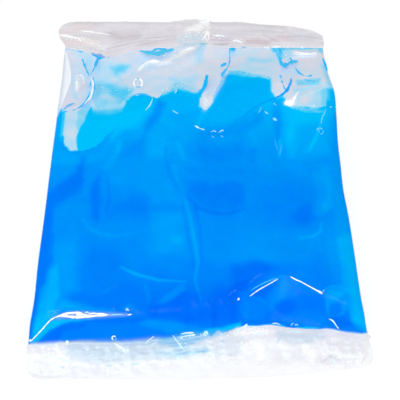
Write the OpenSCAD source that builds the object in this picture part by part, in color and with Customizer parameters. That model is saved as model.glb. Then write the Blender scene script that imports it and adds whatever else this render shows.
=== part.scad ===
// Reusable gel ice pack: a tube of clear film with a fin seam along its back,
// welded shut at both ends, and the blue gel inside it. The pack lies on its
// back with +Z up, the full end towards -Y and the air pocket towards +Y.
// The origin is under the middle of the pack, on the surface that it lies on.

/* [Film] */
// Width of the film tube when it is pressed flat
tube_w = 144; // [110:0.5:200]
// Thickness of one layer of film
film_t = 0.2; // [0.15:0.05:0.3]
// Width that the filled body loses on each side
side_draw = 3.5; // [2:0.1:6]

/* [End seals] */
// Length of the pack over both loose edges
pack_l = 207; // [170:1:280]
// Length of the ribbed weld band at each end
weld_l = 10; // [6:0.5:14]
// Number of ribs that the sealing jaw presses into a weld band
weld_ribs = 4; // [2:1:5]
// Height of a rib from valley to crest
rib_h = 0.3; // [0.1:0.05:0.5]
// Length of the loose skirt past the weld at the full end
near_skirt = 7; // [6.5:0.5:14]
// Length of the loose skirt past the weld at the air pocket end
far_skirt = 10.5; // [6.5:0.5:16]
// Radius of the soft corners of both skirts
corner_r = 6; // [2:0.5:6]
// Width that each side of the full end's skirt loses to its gathers
near_gather = 2; // [0.5:0.1:4]
// Sideways offset of the air pocket end from the middle
end_shift = 1.8; // [0:0.1:5]
// Height of the inner weld line at the full end above the surface
near_seal_z = 4; // [2:0.5:7]
// Height of the inner weld line at the air pocket end above the surface
far_seal_z = 3; // [2:0.5:5]

/* [Fill] */
// Height of the filled body at the full end
near_t = 15.5; // [12:0.5:24]
// Height of the filled body at the air pocket end
far_t = 9.5; // [7:0.5:14]
// Extra height of the middle of the body over its shoulders
dome_h = 1.4; // [0:0.1:3]
// Length of the steep rise at the full end
near_run = 6.5; // [4:0.5:12]
// Extra length of that rise in front of the tent-shaped gather
tent_run = 13; // [0:0.5:18]
// Length of the gentle rise at the air pocket end
far_run = 14; // [8:0.5:30]
// Clearance between the gel and the film around it
gel_gap = 0.1; // [0.05:0.05:0.3]
// Distance from the air pocket end's weld line to where the gel leaves the upper film
pocket_l = 42; // [25:1:70]
// Extra length of the pocket along its left side, and shortfall along its right
pocket_skew = 14; // [0:1:20]
// Fall of the gel surface for each millimetre into the pocket
pocket_slope = 0.3; // [0.15:0.01:0.8]
// Thickness of the gel that still wets the back of the pocket
wet_t = 0.8; // [0.5:0.1:2]

/* [Back seam] */
// Width of the fin seam, which is folded flat against the back
fin_w = 9; // [5:0.5:15]
// Depth of the groove along each edge of the folded fin
groove_d = 0.15; // [0.05:0.05:0.15]
// Sideways wander of the seam on its way along the back
fin_wander = 15; // [0:1:25]

/* [Folds] */
// Height factor of the folds in the upper film
fold_gain = 1; // [0:0.1:1.5]
// Height of the waves along the loose edges of the skirts
skirt_wave = 1.6; // [0:0.1:3]

/* [Hidden] */

half_w = tube_w / 2;
near_flange = near_skirt + weld_l;
far_flange = far_skirt + weld_l;
near_seal_y = near_flange - pack_l / 2;
far_seal_y = pack_l / 2 - far_flange;
body_l = far_seal_y - near_seal_y;
body_mid = (near_seal_y + far_seal_y) / 2;
// Height of a skirt's loose edge where no wave lifts it
edge_z = 0.3;
// Share of the body's side draw that is left at the weld lines
weld_draw = 0.75;
// Length over which the back lifts off the surface towards each weld line
near_lift = 7;
far_lift = 13;
// Width of a groove from its lip to its bottom
groove_w = 0.6;

// Grid of a skin: columns across one sheet, with the back columns beside the fin
// on the left, angle between the columns round a side, and rows along the pack
sheet_cols = 22;
left_cols = 8;
arc_step = 30;
body_rows = 27;
corner_rows = 3;
// Rows next to a weld line where the hollow and the gel stop
hollow_row = 1;
gel_row = 2;

// Folds in the upper film, each along a line between two places on the body:
// [x1, y1, x2, y2, height in mm, width in mm], places in half widths and half lengths
FOLDS = [
    [0.02, 0.40, 0.10, 0.55, 1.2, 5.0],
    [0.10, 0.55, 0.25, 0.86, 2.2, 5.5],
    [-0.46, 0.72, -0.26, 0.83, 1.7, 6.0],
    [-0.84, 0.86, -0.72, 0.62, -1.7, 5.0],
    [-0.72, 0.62, -0.84, 0.36, -1.3, 5.0],
    [0.52, 0.42, 0.56, -0.06, -1.2, 6.0],
    [0.62, 0.84, 0.66, 0.46, 1.7, 5.5],
    [0.88, 0.62, 0.66, 0.46, 1.2, 5.5],
    [-0.56, 0.34, -0.12, 0.48, 0.8, 8.0],
    [0.10, 0.24, 0.50, 0.44, -0.7, 6.0],
    [-0.84, -0.30, -0.56, -0.76, 0.5, 9.0],
    [0.50, -0.86, 0.49, -0.66, 1.5, 8.0]
];
// Gathers that run into the body from a weld line:
// [place across in half widths, length, height, width in mm]
NEAR_GATHERS = [
    [-0.66, 16, 0.9, 5], [-0.32, 14, 0.6, 5], [0.02, 18, 0.8, 5], [0.76, 16, 0.9, 5]
];
FAR_GATHERS = [
    [-0.64, 26, -1.8, 6], [-0.40, 28, 1.3, 6], [-0.18, 20, -0.8, 6], [0.04, 30, 1.5, 6],
    [0.38, 24, -1.1, 6], [0.58, 22, 1.1, 6], [0.82, 18, -0.9, 6]
];

function mix(a, b, t) = a + (b - a) * t;
function clamp01(t) = max(0, min(1, t));
function ease(t) = let (q = clamp01(t)) q * q * (3 - 2 * q);
function sum(list) = list * [for (item = list) 1];
// Bell of height 1 about c
function bell(x, c, w) = exp(-pow((x - c) / w, 2));
// Climbs from 0 at d = 0 to 1 past d = run, round a shoulder that is crisper for a larger n
function rise(d, run, n) = let (q = max(0, d) / run) q / pow(1 + pow(q, n), 1 / n);
function to_segment(p, a, b) =
    let (ab = b - a, t = clamp01((p - a) * ab / (ab * ab))) norm(p - a - t * ab);

// Weld lines and loose edges, as places along the pack for a place u across it.
// A gather pulls the near line inwards on the right and the far line on the left.
function near_line(u) = near_seal_y - 1.7 + 1.5 * u + 7 * bell(u, 0.46, 0.42);
function far_line(u) = far_seal_y - 7.5 * bell(u, -0.64, 0.17) + 3.2 * bell(u, 0, 0.1);
function near_edge(u) = -pack_l / 2 + 5.5 * pow(clamp01(u), 1.5);
function far_edge(u) = pack_l / 2 - 6.5 * pow(clamp01((u + 0.1) / 1.1), 2);

// A row is a number v: -1 at the near loose edge, 0 and 1 at the weld lines, 2 at the far edge
function row_y(u, v) =
    v < 0 ? mix(near_line(u), near_edge(u), -v) :
    v > 1 ? mix(far_line(u), far_edge(u), v - 1) :
    mix(near_line(u), far_line(u), v);
function line_gap(u) = far_line(u) - near_line(u);
function from_near(u, v) = v * line_gap(u);
function from_far(u, v) = (1 - v) * line_gap(u);
function near_end(v) = v < 0.5;
// Share of the way from a weld line out to its loose edge, and distance left to that edge
function past_weld(v) = near_end(v) ? -v : v - 1;
function from_edge(v) = (1 - past_weld(v)) * (near_end(v) ? near_flange : far_flange);
function in_flange(v) = v <= 0 || v >= 1;
function corner_cut(v) =
    let (q = in_flange(v) ? clamp01(1 - from_edge(v) / corner_r) : 0)
    corner_r * (1 - sqrt(1 - q * q));
function row_draw(v) =
    v < 0 ? mix(weld_draw * side_draw, near_gather, -v) :
    v > 1 ? mix(weld_draw * side_draw, 0, v - 1) :
    side_draw * mix(weld_draw, 1, ease(min(v, 1 - v) * 6));
function row_half(v) = half_w - row_draw(v) - corner_cut(v);
function lean(v) = mix(end_shift + near_gather, -end_shift, (v + 1) / 3);
// Outermost rows on the right and on the left, where the corners end, and the middle between them
NEAR_FULL = corner_r / near_flange - 1;
FAR_FULL = 2 - corner_r / far_flange;
mid_x = (row_half(NEAR_FULL) + lean(NEAR_FULL) - row_half(FAR_FULL) + lean(FAR_FULL)) / 2;
function row_shift(v) = lean(v) - mid_x;

// Height of the pack's underside above the surface
function rib_z(v) =
    let (d = from_edge(v) - (near_end(v) ? near_skirt : far_skirt))
    d <= 0 || d >= weld_l ? 0 : rib_h * abs((d / weld_l * weld_ribs + 0.5) % 1 - 0.5) * 2;
function skirt_z(u, v) =
    let (q = past_weld(v), turn = near_end(v) ? 0 : 130)
    mix(near_end(v) ? near_seal_z : far_seal_z, edge_z, ease(q))
    + skirt_wave * q * q * (1 + 0.6 * sin(430 * u + 40 + turn) + 0.4 * sin(910 * u + turn)) / 2;
function under_z(u, v) =
    in_flange(v) ? skirt_z(u, v) + rib_z(v) :
    near_seal_z * pow(1 - clamp01(from_near(u, v) / near_lift), 2)
    + far_seal_z * pow(1 - clamp01(from_far(u, v) / far_lift), 2);
// Height of the film at the shoulders, over its underside
function shoulder_t(u, v) =
    in_flange(v) ? 2 * film_t :
    2 * film_t + (mix(near_t, far_t, ease(v)) - 2 * film_t)
    * rise(from_near(u, v), near_run + tent_run * bell(u, 0.5, 0.2), 5)
    * rise(from_far(u, v), far_run, 3);

// Relief of the upper film over its shoulders: dome, folds and gathers
function fold_z(p) = sum([for (f = FOLDS) f[4] * exp(-pow(to_segment(p,
    [f[0] * half_w, f[1] * body_l / 2], [f[2] * half_w, f[3] * body_l / 2]) / f[5], 2))]);
function gather_z(list, u, d) = sum([for (g = list)
    g[2] * bell(u * half_w, g[0] * half_w, g[3]) * ease(d / 4) * (1 - ease(2 * d / g[1] - 1))]);
function relief_z(u, v) = in_flange(v) ? 0 :
    let (dn = from_near(u, v), df = from_far(u, v))
    let (soft = (1 - pow(abs(u), 6)) * rise(min(dn, df), 12, 3))
    soft * (dome_h * (1 - u * u)
    + fold_gain * (fold_z([u * half_w, row_y(u, v) - body_mid])
    + gather_z(NEAR_GATHERS, u, dn) + gather_z(FAR_GATHERS, u, df)));

// Back columns: evenly spaced up to the fin, then lip, groove and fin edge on each of its sides
function fin_x(v) = 1 - fin_wander * bell(v, 0.63, 0.27);
// Height of the folded fin inside the film, which the welds press out
function fin_z(u, v) = min(2 * film_t, (shoulder_t(u, v) - 2 * film_t) / 3);
function back_x(i, v, left, right) =
    let (lip = fin_w / 2 + 2 * groove_w, a = fin_x(v) - lip, b = fin_x(v) + lip)
    i < left_cols ? mix(left, a, i / left_cols) :
    i > left_cols + 5 ? mix(b, right, (i - left_cols - 5) / (sheet_cols - left_cols - 5)) :
    i < left_cols + 3 ? a + groove_w * (i - left_cols) : b - groove_w * (left_cols + 5 - i);
function is_groove(i) = i == left_cols + 1 || i == left_cols + 4;
function is_fin(i) = i >= left_cols && i <= left_cols + 5;

// Columns of a ring: [sheet column, angle round the side from 0 above to 180 below]
RING = concat(
    [for (i = [0 : sheet_cols]) [i, 0]],
    [for (a = [arc_step : arc_step : 180 - arc_step]) [sheet_cols, a]],
    [for (i = [sheet_cols : -1 : 0]) [i, 180]],
    [for (a = [180 - arc_step : -arc_step : arc_step]) [0, a]]
);
// Rows of a flange from its loose edge to its weld line, as distances
function flange_rows(skirt) = concat(
    [for (k = [0 : corner_rows]) corner_r * (1 - cos(90 * k / corner_rows))],
    [for (k = [0 : 2 * weld_ribs - 1]) skirt + weld_l * k / (2 * weld_ribs)]
);
// Rows of the body crowd towards both weld lines
function body_row(i) = mix(i / body_rows, (1 - cos(180 * i / body_rows)) / 2, 0.85);
BODY = [for (i = [0 : body_rows]) body_row(i)];
NEAR_FLANGE = [for (d = flange_rows(near_skirt)) d / near_flange - 1];
FAR_FLANGE = [for (d = flange_rows(far_skirt)) 2 - d / far_flange];
function backwards(list) = [for (i = [len(list) - 1 : -1 : 0]) list[i]];
function middle(list, n) = [for (i = [n : len(list) - 1 - n]) list[i]];

// Point of a skin that lies an inset inside the outer face of the film
function skin_point(c, v, inset) =
    let (side = c[0] * 2 > sheet_cols ? 1 : -1, w = row_half(v), r = shoulder_t(side, v) / 2)
    let (flat = w - r, across = 2 * c[0] / sheet_cols - 1)
    let (x = c[1] == 180 ? back_x(c[0], v, -flat, flat) : across * flat)
    let (u = (x + side * r * sin(c[1])) / half_w)
    let (z =
        c[1] == 0 ? under_z(u, v) + shoulder_t(u, v) + relief_z(u, v) - inset :
        c[1] < 180 ? under_z(u, v) + r + (r - inset) * cos(c[1]) :
        inset > 0 ? under_z(u, v) + inset + (is_fin(c[0]) ? fin_z(u, v) : 0) :
        under_z(u, v) + (is_groove(c[0]) ? groove_d : 0))
    [x + side * (r - inset) * sin(c[1]) + row_shift(v), row_y(u, v), z];

// Height of the gel over the inside of the back film, where it has left the upper film
function gel_t(u, v) =
    max(wet_t + 2 * film_t, far_t + dome_h - pocket_slope * (pocket_l - pocket_skew * u - from_far(u, v)));
// Point of the gel: as the film around it, or sunk to the gel's own height in the pocket
function gel_point(c, v) =
    let (inset = film_t + gel_gap, p = skin_point(c, v, inset))
    let (side = c[0] * 2 > sheet_cols ? 1 : -1, r = shoulder_t(side, v) / 2)
    let (sunk_r = min(r - inset, gel_t(side, v) / 2), u = (p[0] - row_shift(v)) / half_w)
    c[1] == 180 ? p :
    c[1] == 0 ? [p[0], p[1], min(p[2], under_z(u, v) + inset + gel_t(u, v))] :
    [p[0] - side * (r - inset - sunk_r) * sin(c[1]), p[1],
        under_z(u, v) + inset + sunk_r + sunk_r * cos(c[1])];

// Closed skin over a list of rings, whose points run over the top and back underneath
module skin(rings) {
    n = len(rings[0]);
    rows = len(rings);
    side = 180 / arc_step - 1;
    function at(i, j) = i * n + j % n;
    function under(j) = 2 * sheet_cols + side + 1 - j;
    function cap(i) = concat(
        [for (j = [0 : sheet_cols - 1]) [at(i, j), at(i, j + 1), at(i, under(j + 1))]],
        [for (j = [0 : sheet_cols - 1]) [at(i, j), at(i, under(j + 1)), at(i, under(j))]],
        [for (j = [1 : side]) [at(i, sheet_cols), at(i, sheet_cols + j), at(i, sheet_cols + j + 1)]],
        [for (j = [1 : side]) [at(i, under(0)), at(i, under(0) + j), at(i, under(0) + j + 1)]]
    );
    polyhedron(
        points = [for (ring = rings) each ring],
        faces = concat(
            [for (i = [0 : rows - 2], j = [0 : n - 1]) [at(i, j), at(i + 1, j), at(i + 1, j + 1)]],
            [for (i = [0 : rows - 2], j = [0 : n - 1]) [at(i, j), at(i + 1, j + 1), at(i, j + 1)]],
            cap(0),
            [for (f = cap(rows - 1)) backwards(f)]
        ),
        convexity = 6
    );
}

module film_pouch() {
    color([0.86, 0.89, 0.95, 0.45])
    difference() {
        skin([for (v = concat(NEAR_FLANGE, BODY, backwards(FAR_FLANGE)))
            [for (c = RING) skin_point(c, v, 0)]]);
        skin([for (v = middle(BODY, hollow_row)) [for (c = RING) skin_point(c, v, film_t)]]);
    }
}

module gel_fill() {
    color([0.0, 0.5, 1.0])
    skin([for (v = middle(BODY, gel_row)) [for (c = RING) gel_point(c, v)]]);
}

film_pouch();
gel_fill();
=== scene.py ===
"""Reusable gel ice pack, as a Blender add-on that is run as a script.

The pack is a tube of clear film, welded shut at both ends, with blue gel inside it.
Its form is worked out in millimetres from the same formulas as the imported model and
written to the meshes in metres. Marks that the photograph shows are given by their
places in its picture, in pixels, and are laid on the pack along the camera's rays.
"""

import math

import bpy
import numpy as np
from mathutils import Matrix, Vector


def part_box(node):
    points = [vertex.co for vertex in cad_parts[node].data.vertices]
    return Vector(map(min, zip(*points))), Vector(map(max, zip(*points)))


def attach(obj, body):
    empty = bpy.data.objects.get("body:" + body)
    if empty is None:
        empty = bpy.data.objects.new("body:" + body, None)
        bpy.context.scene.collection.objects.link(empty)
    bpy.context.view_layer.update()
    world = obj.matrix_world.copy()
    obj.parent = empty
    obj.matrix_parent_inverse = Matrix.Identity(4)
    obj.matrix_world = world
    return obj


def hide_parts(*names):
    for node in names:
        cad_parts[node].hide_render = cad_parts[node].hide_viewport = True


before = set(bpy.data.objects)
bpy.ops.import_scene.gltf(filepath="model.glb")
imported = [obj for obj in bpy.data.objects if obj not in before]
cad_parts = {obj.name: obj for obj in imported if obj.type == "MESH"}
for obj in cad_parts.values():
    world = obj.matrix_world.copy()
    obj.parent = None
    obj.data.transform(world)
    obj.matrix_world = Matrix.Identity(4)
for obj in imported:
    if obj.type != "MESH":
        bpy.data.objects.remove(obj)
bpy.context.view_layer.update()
POUCH_LOW, POUCH_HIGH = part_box("film_pouch")

bl_info = {
    "name": "Gel ice pack",
    "version": (1, 0, 0),
    "blender": (4, 5, 0),
    "location": "3D View > Sidebar > Ice pack",
    "description": "Makes a reusable gel ice pack and the pale studio that it lies in",
    "category": "Add Mesh",
}

MM = 0.001

# Folds in the upper film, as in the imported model: a line between two places in half
# widths and half lengths of the body, then height and width in millimetres
FOLDS = [
    (0.02, 0.40, 0.10, 0.55, 1.2, 5.0),
    (0.10, 0.55, 0.25, 0.86, 2.2, 5.5),
    (-0.46, 0.72, -0.26, 0.83, 1.7, 6.0),
    (-0.84, 0.86, -0.72, 0.62, -1.7, 5.0),
    (-0.72, 0.62, -0.84, 0.36, -1.3, 5.0),
    (0.52, 0.42, 0.56, -0.06, -1.2, 6.0),
    (0.62, 0.84, 0.66, 0.46, 1.7, 5.5),
    (0.88, 0.62, 0.66, 0.46, 1.2, 5.5),
    (-0.56, 0.34, -0.12, 0.48, 0.8, 8.0),
    (0.10, 0.24, 0.50, 0.44, -0.7, 6.0),
    (-0.84, -0.30, -0.56, -0.76, 0.5, 9.0),
    (0.50, -0.86, 0.49, -0.66, 1.5, 8.0),
]
# Gathers that run into the body from a weld line: place across in half widths,
# then length, height and width in millimetres
NEAR_GATHERS = [(-0.66, 16, 0.9, 5), (-0.32, 14, 0.6, 5), (0.02, 18, 0.8, 5), (0.76, 16, 0.9, 5)]
FAR_GATHERS = [
    (-0.64, 26, -1.8, 6),
    (-0.40, 28, 1.3, 6),
    (-0.18, 20, -0.8, 6),
    (0.04, 30, 1.5, 6),
    (0.38, 24, -1.1, 6),
    (0.58, 22, 1.1, 6),
    (0.82, 18, -0.9, 6),
]

# Wander of the near weld line, as bells: height in millimetres, then centre and width in
# half widths of the tube
NEAR_WANDER = [
    (4.4, 0.2, 0.3), (3.4, 0.47, 0.18), (1.6, 0.9, 0.35), (0.4, -0.75, 0.15), (-0.7, -0.95, 0.2),
    (-0.4, -0.4, 0.15), (-0.5, -0.1, 0.1), (-1.3, 0.09, 0.1), (0.3, 0.35, 0.08), (2.0, 0.73, 0.12),
    (-0.3, 0.95, 0.08),
]

# The photograph's frame and the camera that took it, in millimetres
PICTURE = 400
FOCAL_PX = 772.0
EYE_ELEVATION = math.radians(55.1)
EYE = np.array([2.76, -221.29, 295.50])

# Sharp creases in the film: height and width in millimetres, then places in the picture
CREASES = [
    (0.7, 1.3, [(249, 297), (258, 291), (268, 284), (281, 277)]),
    (0.7, 1.3, [(288, 275), (300, 281), (311, 287), (323, 294)]),
    (0.5, 1.2, [(30, 341), (41, 330), (53, 318), (66, 313), (84, 312), (108, 315)]),
    (0.5, 1.6, [(138, 70), (146, 63), (166, 62), (179, 55), (194, 46)]),
    (0.6, 1.6, [(82, 58), (88, 70), (90, 77), (91, 90)]),
    (0.5, 1.4, [(98, 58), (93, 70), (90, 77)]),
    (0.5, 1.8, [(225, 66), (221, 84), (214, 102)]),
    (0.5, 1.5, [(203, 75), (206, 90), (207, 106)]),
    (0.5, 1.5, [(284, 66), (288, 80), (288, 99)]),
    (0.4, 1.4, [(294, 99), (312, 92), (331, 86)]),
    (-0.5, 2.0, [(276, 106), (277, 128), (279, 160)]),
    (-0.4, 2.0, [(160, 97), (153, 112), (146, 130)]),
    (0.4, 1.6, [(121, 267), (148, 276), (166, 281), (182, 281)]),
]

# Outline of the part of the pack that the gel has left, in the picture
OPEN_AREA = [
    (52, 107.5), (60, 108), (63, 111), (63, 122), (63, 138), (65, 146), (70, 150), (83, 151),
    (97, 146), (106, 136), (115, 127), (121, 117), (123, 107), (127, 100), (134, 95),
    (142, 94), (150, 96), (158, 98), (164, 93), (170, 89), (178, 86), (188, 88), (197, 92),
    (202, 88), (205, 76), (208, 75), (206, 87), (200, 98), (200, 106), (205, 111), (210, 106),
    (214, 96), (221, 84), (228, 71), (238, 71), (254, 74), (272, 78), (271, 90), (276, 97), (284, 95),
    (286, 105), (293, 106), (306, 106.5), (316, 108), (325, 106), (329, 99), (330, 88), (344, 86),
    (344, 10), (44, 10),
]
# Areas in it: depth of the gel's colour in millimetres, softness in pixels, outline
OPEN_PATCHES = [
    (0.0, 2, [(60, 50), (70, 50), (71, 108), (58, 108)]),
    (0.6, 3, [(72, 52), (92, 52), (94, 80), (88, 104), (76, 106), (71, 90)]),
    (0.05, 1.5, [(76, 74), (82, 74), (86, 82), (85, 94), (79, 100), (75, 90)]),
    (1.0, 1, [(83, 54), (91, 56), (95, 60), (90, 74)]),
    (0.8, 4, [(93, 62), (112, 62), (122, 80), (94, 80)]),
    (2.1, 5, [(94, 80), (112, 82), (134, 89), (132, 95), (124, 102), (120, 114), (98, 115), (93, 100)]),
    (3.4, 3.5, [(106, 86), (130, 91), (126, 100), (118, 103), (112, 95)]),
    (1.7, 2.5, [(97, 97), (106, 96), (116, 101), (119, 106), (112, 110), (100, 110), (95, 104)]),
    (6.5, 5, [(90, 110), (98, 113), (112, 113), (124, 109), (128, 118), (118, 134), (100, 149), (82, 157), (80, 140)]),
    (6.5, 1, [
        (77, 155), (77, 134), (83, 122), (88, 111), (91, 106), (93, 116), (101, 119), (112, 118),
        (124, 114), (125, 118), (118, 130), (111, 137), (101, 146), (90, 153),
    ]),
    (1.0, 0.7, [(62, 112), (77, 111), (77, 150), (70, 150), (64, 145), (61, 130)]),
    (0.6, 3, [(66, 114), (75, 114), (75, 138), (68, 138)]),
    (1.8, 0.8, [(77, 134), (77, 111), (91, 102), (86, 116), (80, 128)]),
    (3.6, 6, [(112, 68), (122, 65), (128, 66), (124, 72), (116, 74)]),
    (1.1, 4, [(194, 40), (205, 40), (204, 62), (197, 62)]),
    (1.2, 5, [(170, 78), (196, 76), (196, 92), (172, 88)]),
    (0.1, 5, [(204, 50), (226, 50), (222, 72), (206, 72)]),
    (0.4, 3, [(232, 48), (276, 48), (276, 56), (232, 56)]),
    (1.4, 4, [(246, 58), (276, 58), (276, 63), (250, 63)]),
    (0.7, 4, [(232, 66), (276, 66), (275, 74), (232, 73)]),
    (3.4, 1.2, [(269, 47), (286, 46.5), (283, 60), (279, 62), (276, 54)]),
    (1.2, 2, [(282, 50), (291, 49), (294, 56), (288, 60), (283, 57)]),
    (2.2, 1, [(286, 47), (318, 46), (318, 49), (286, 50)]),
    (0.0, 3, [(298, 56), (316, 55), (316, 70), (306, 72), (298, 67)]),
    (2.4, 1.5, [(318, 47), (325, 47), (325, 53), (319, 52)]),
    (2.2, 3, [(323, 66), (329, 66), (335, 88), (328, 88)]),
    (2.6, 2, [(296, 81), (308, 79), (321, 78), (320, 84), (306, 85), (297, 86)]),
    (1.3, 3, [(294, 88), (329, 86), (327, 112), (294, 110)]),
    (0.5, 3, [(300, 92), (317, 88), (312, 100), (299, 104)]),
    (2.4, 2, [(321, 90), (332, 86), (329, 104), (322, 110)]),
    (8.0, 2, [(329, 90), (337, 88), (339, 114), (326, 114)]),
    (2.0, 2, [(62, 49), (66, 49), (65, 58), (62, 58)]),
]
# Places where small drops of gel make the colour grainy: strength in millimetres, softness
# in pixels, then places and widths in the picture
GRAINS = [
    (3.0, 3, [(96, 86, 6), (112, 91, 10), (127, 97, 6)]),
    (3.0, 3, [(97, 111, 4), (110, 112, 5), (121, 106, 6), (126, 98, 4)]),
    (5.0, 4, [(164, 92, 5), (178, 86, 10), (196, 90, 6)]),
    (4.0, 2.5, [(230, 73, 4), (242, 75, 6), (262, 76, 3), (275, 80, 3)]),
    (5.0, 2, [(271, 50, 4), (283, 54, 7), (291, 63, 4)]),
    (4.5, 2, [(296, 82, 4), (308, 82, 4), (320, 81, 4)]),
    (4.5, 3, [(292, 107, 3), (306, 111, 5), (325, 112, 4)]),
    (1.6, 3, [(224, 80, 4), (210, 104, 5), (201, 106, 4), (201, 98, 3)]),
    (1.8, 3, [(272, 79, 3), (271, 89, 3), (277, 98, 3), (285, 97, 3)]),
    (3.0, 2, [(286, 48, 2), (318, 47.5, 2)]),
]
# Depth of the gel's colour down the picture: place in pixels, depth in millimetres
GEL_DOWN = [
    (95, 8.8), (110, 9.6), (130, 11.2), (150, 12.4), (170, 13.4), (190, 14.2), (210, 14.5),
    (235, 13.8), (255, 14.2), (270, 15.0), (290, 15.8), (305, 16.6), (315, 17.0), (326, 16.2), (345, 16.0),
]
# Depth of its colour down the left and the right side
GEL_LEFT = [(110, 11.2), (150, 11.8), (180, 13.0), (210, 13.8), (290, 14.4), (330, 12.4)]
GEL_RIGHT = [(90, 10.0), (120, 11.4), (150, 12.0), (210, 12.6), (235, 10.8), (330, 10.6)]
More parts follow.
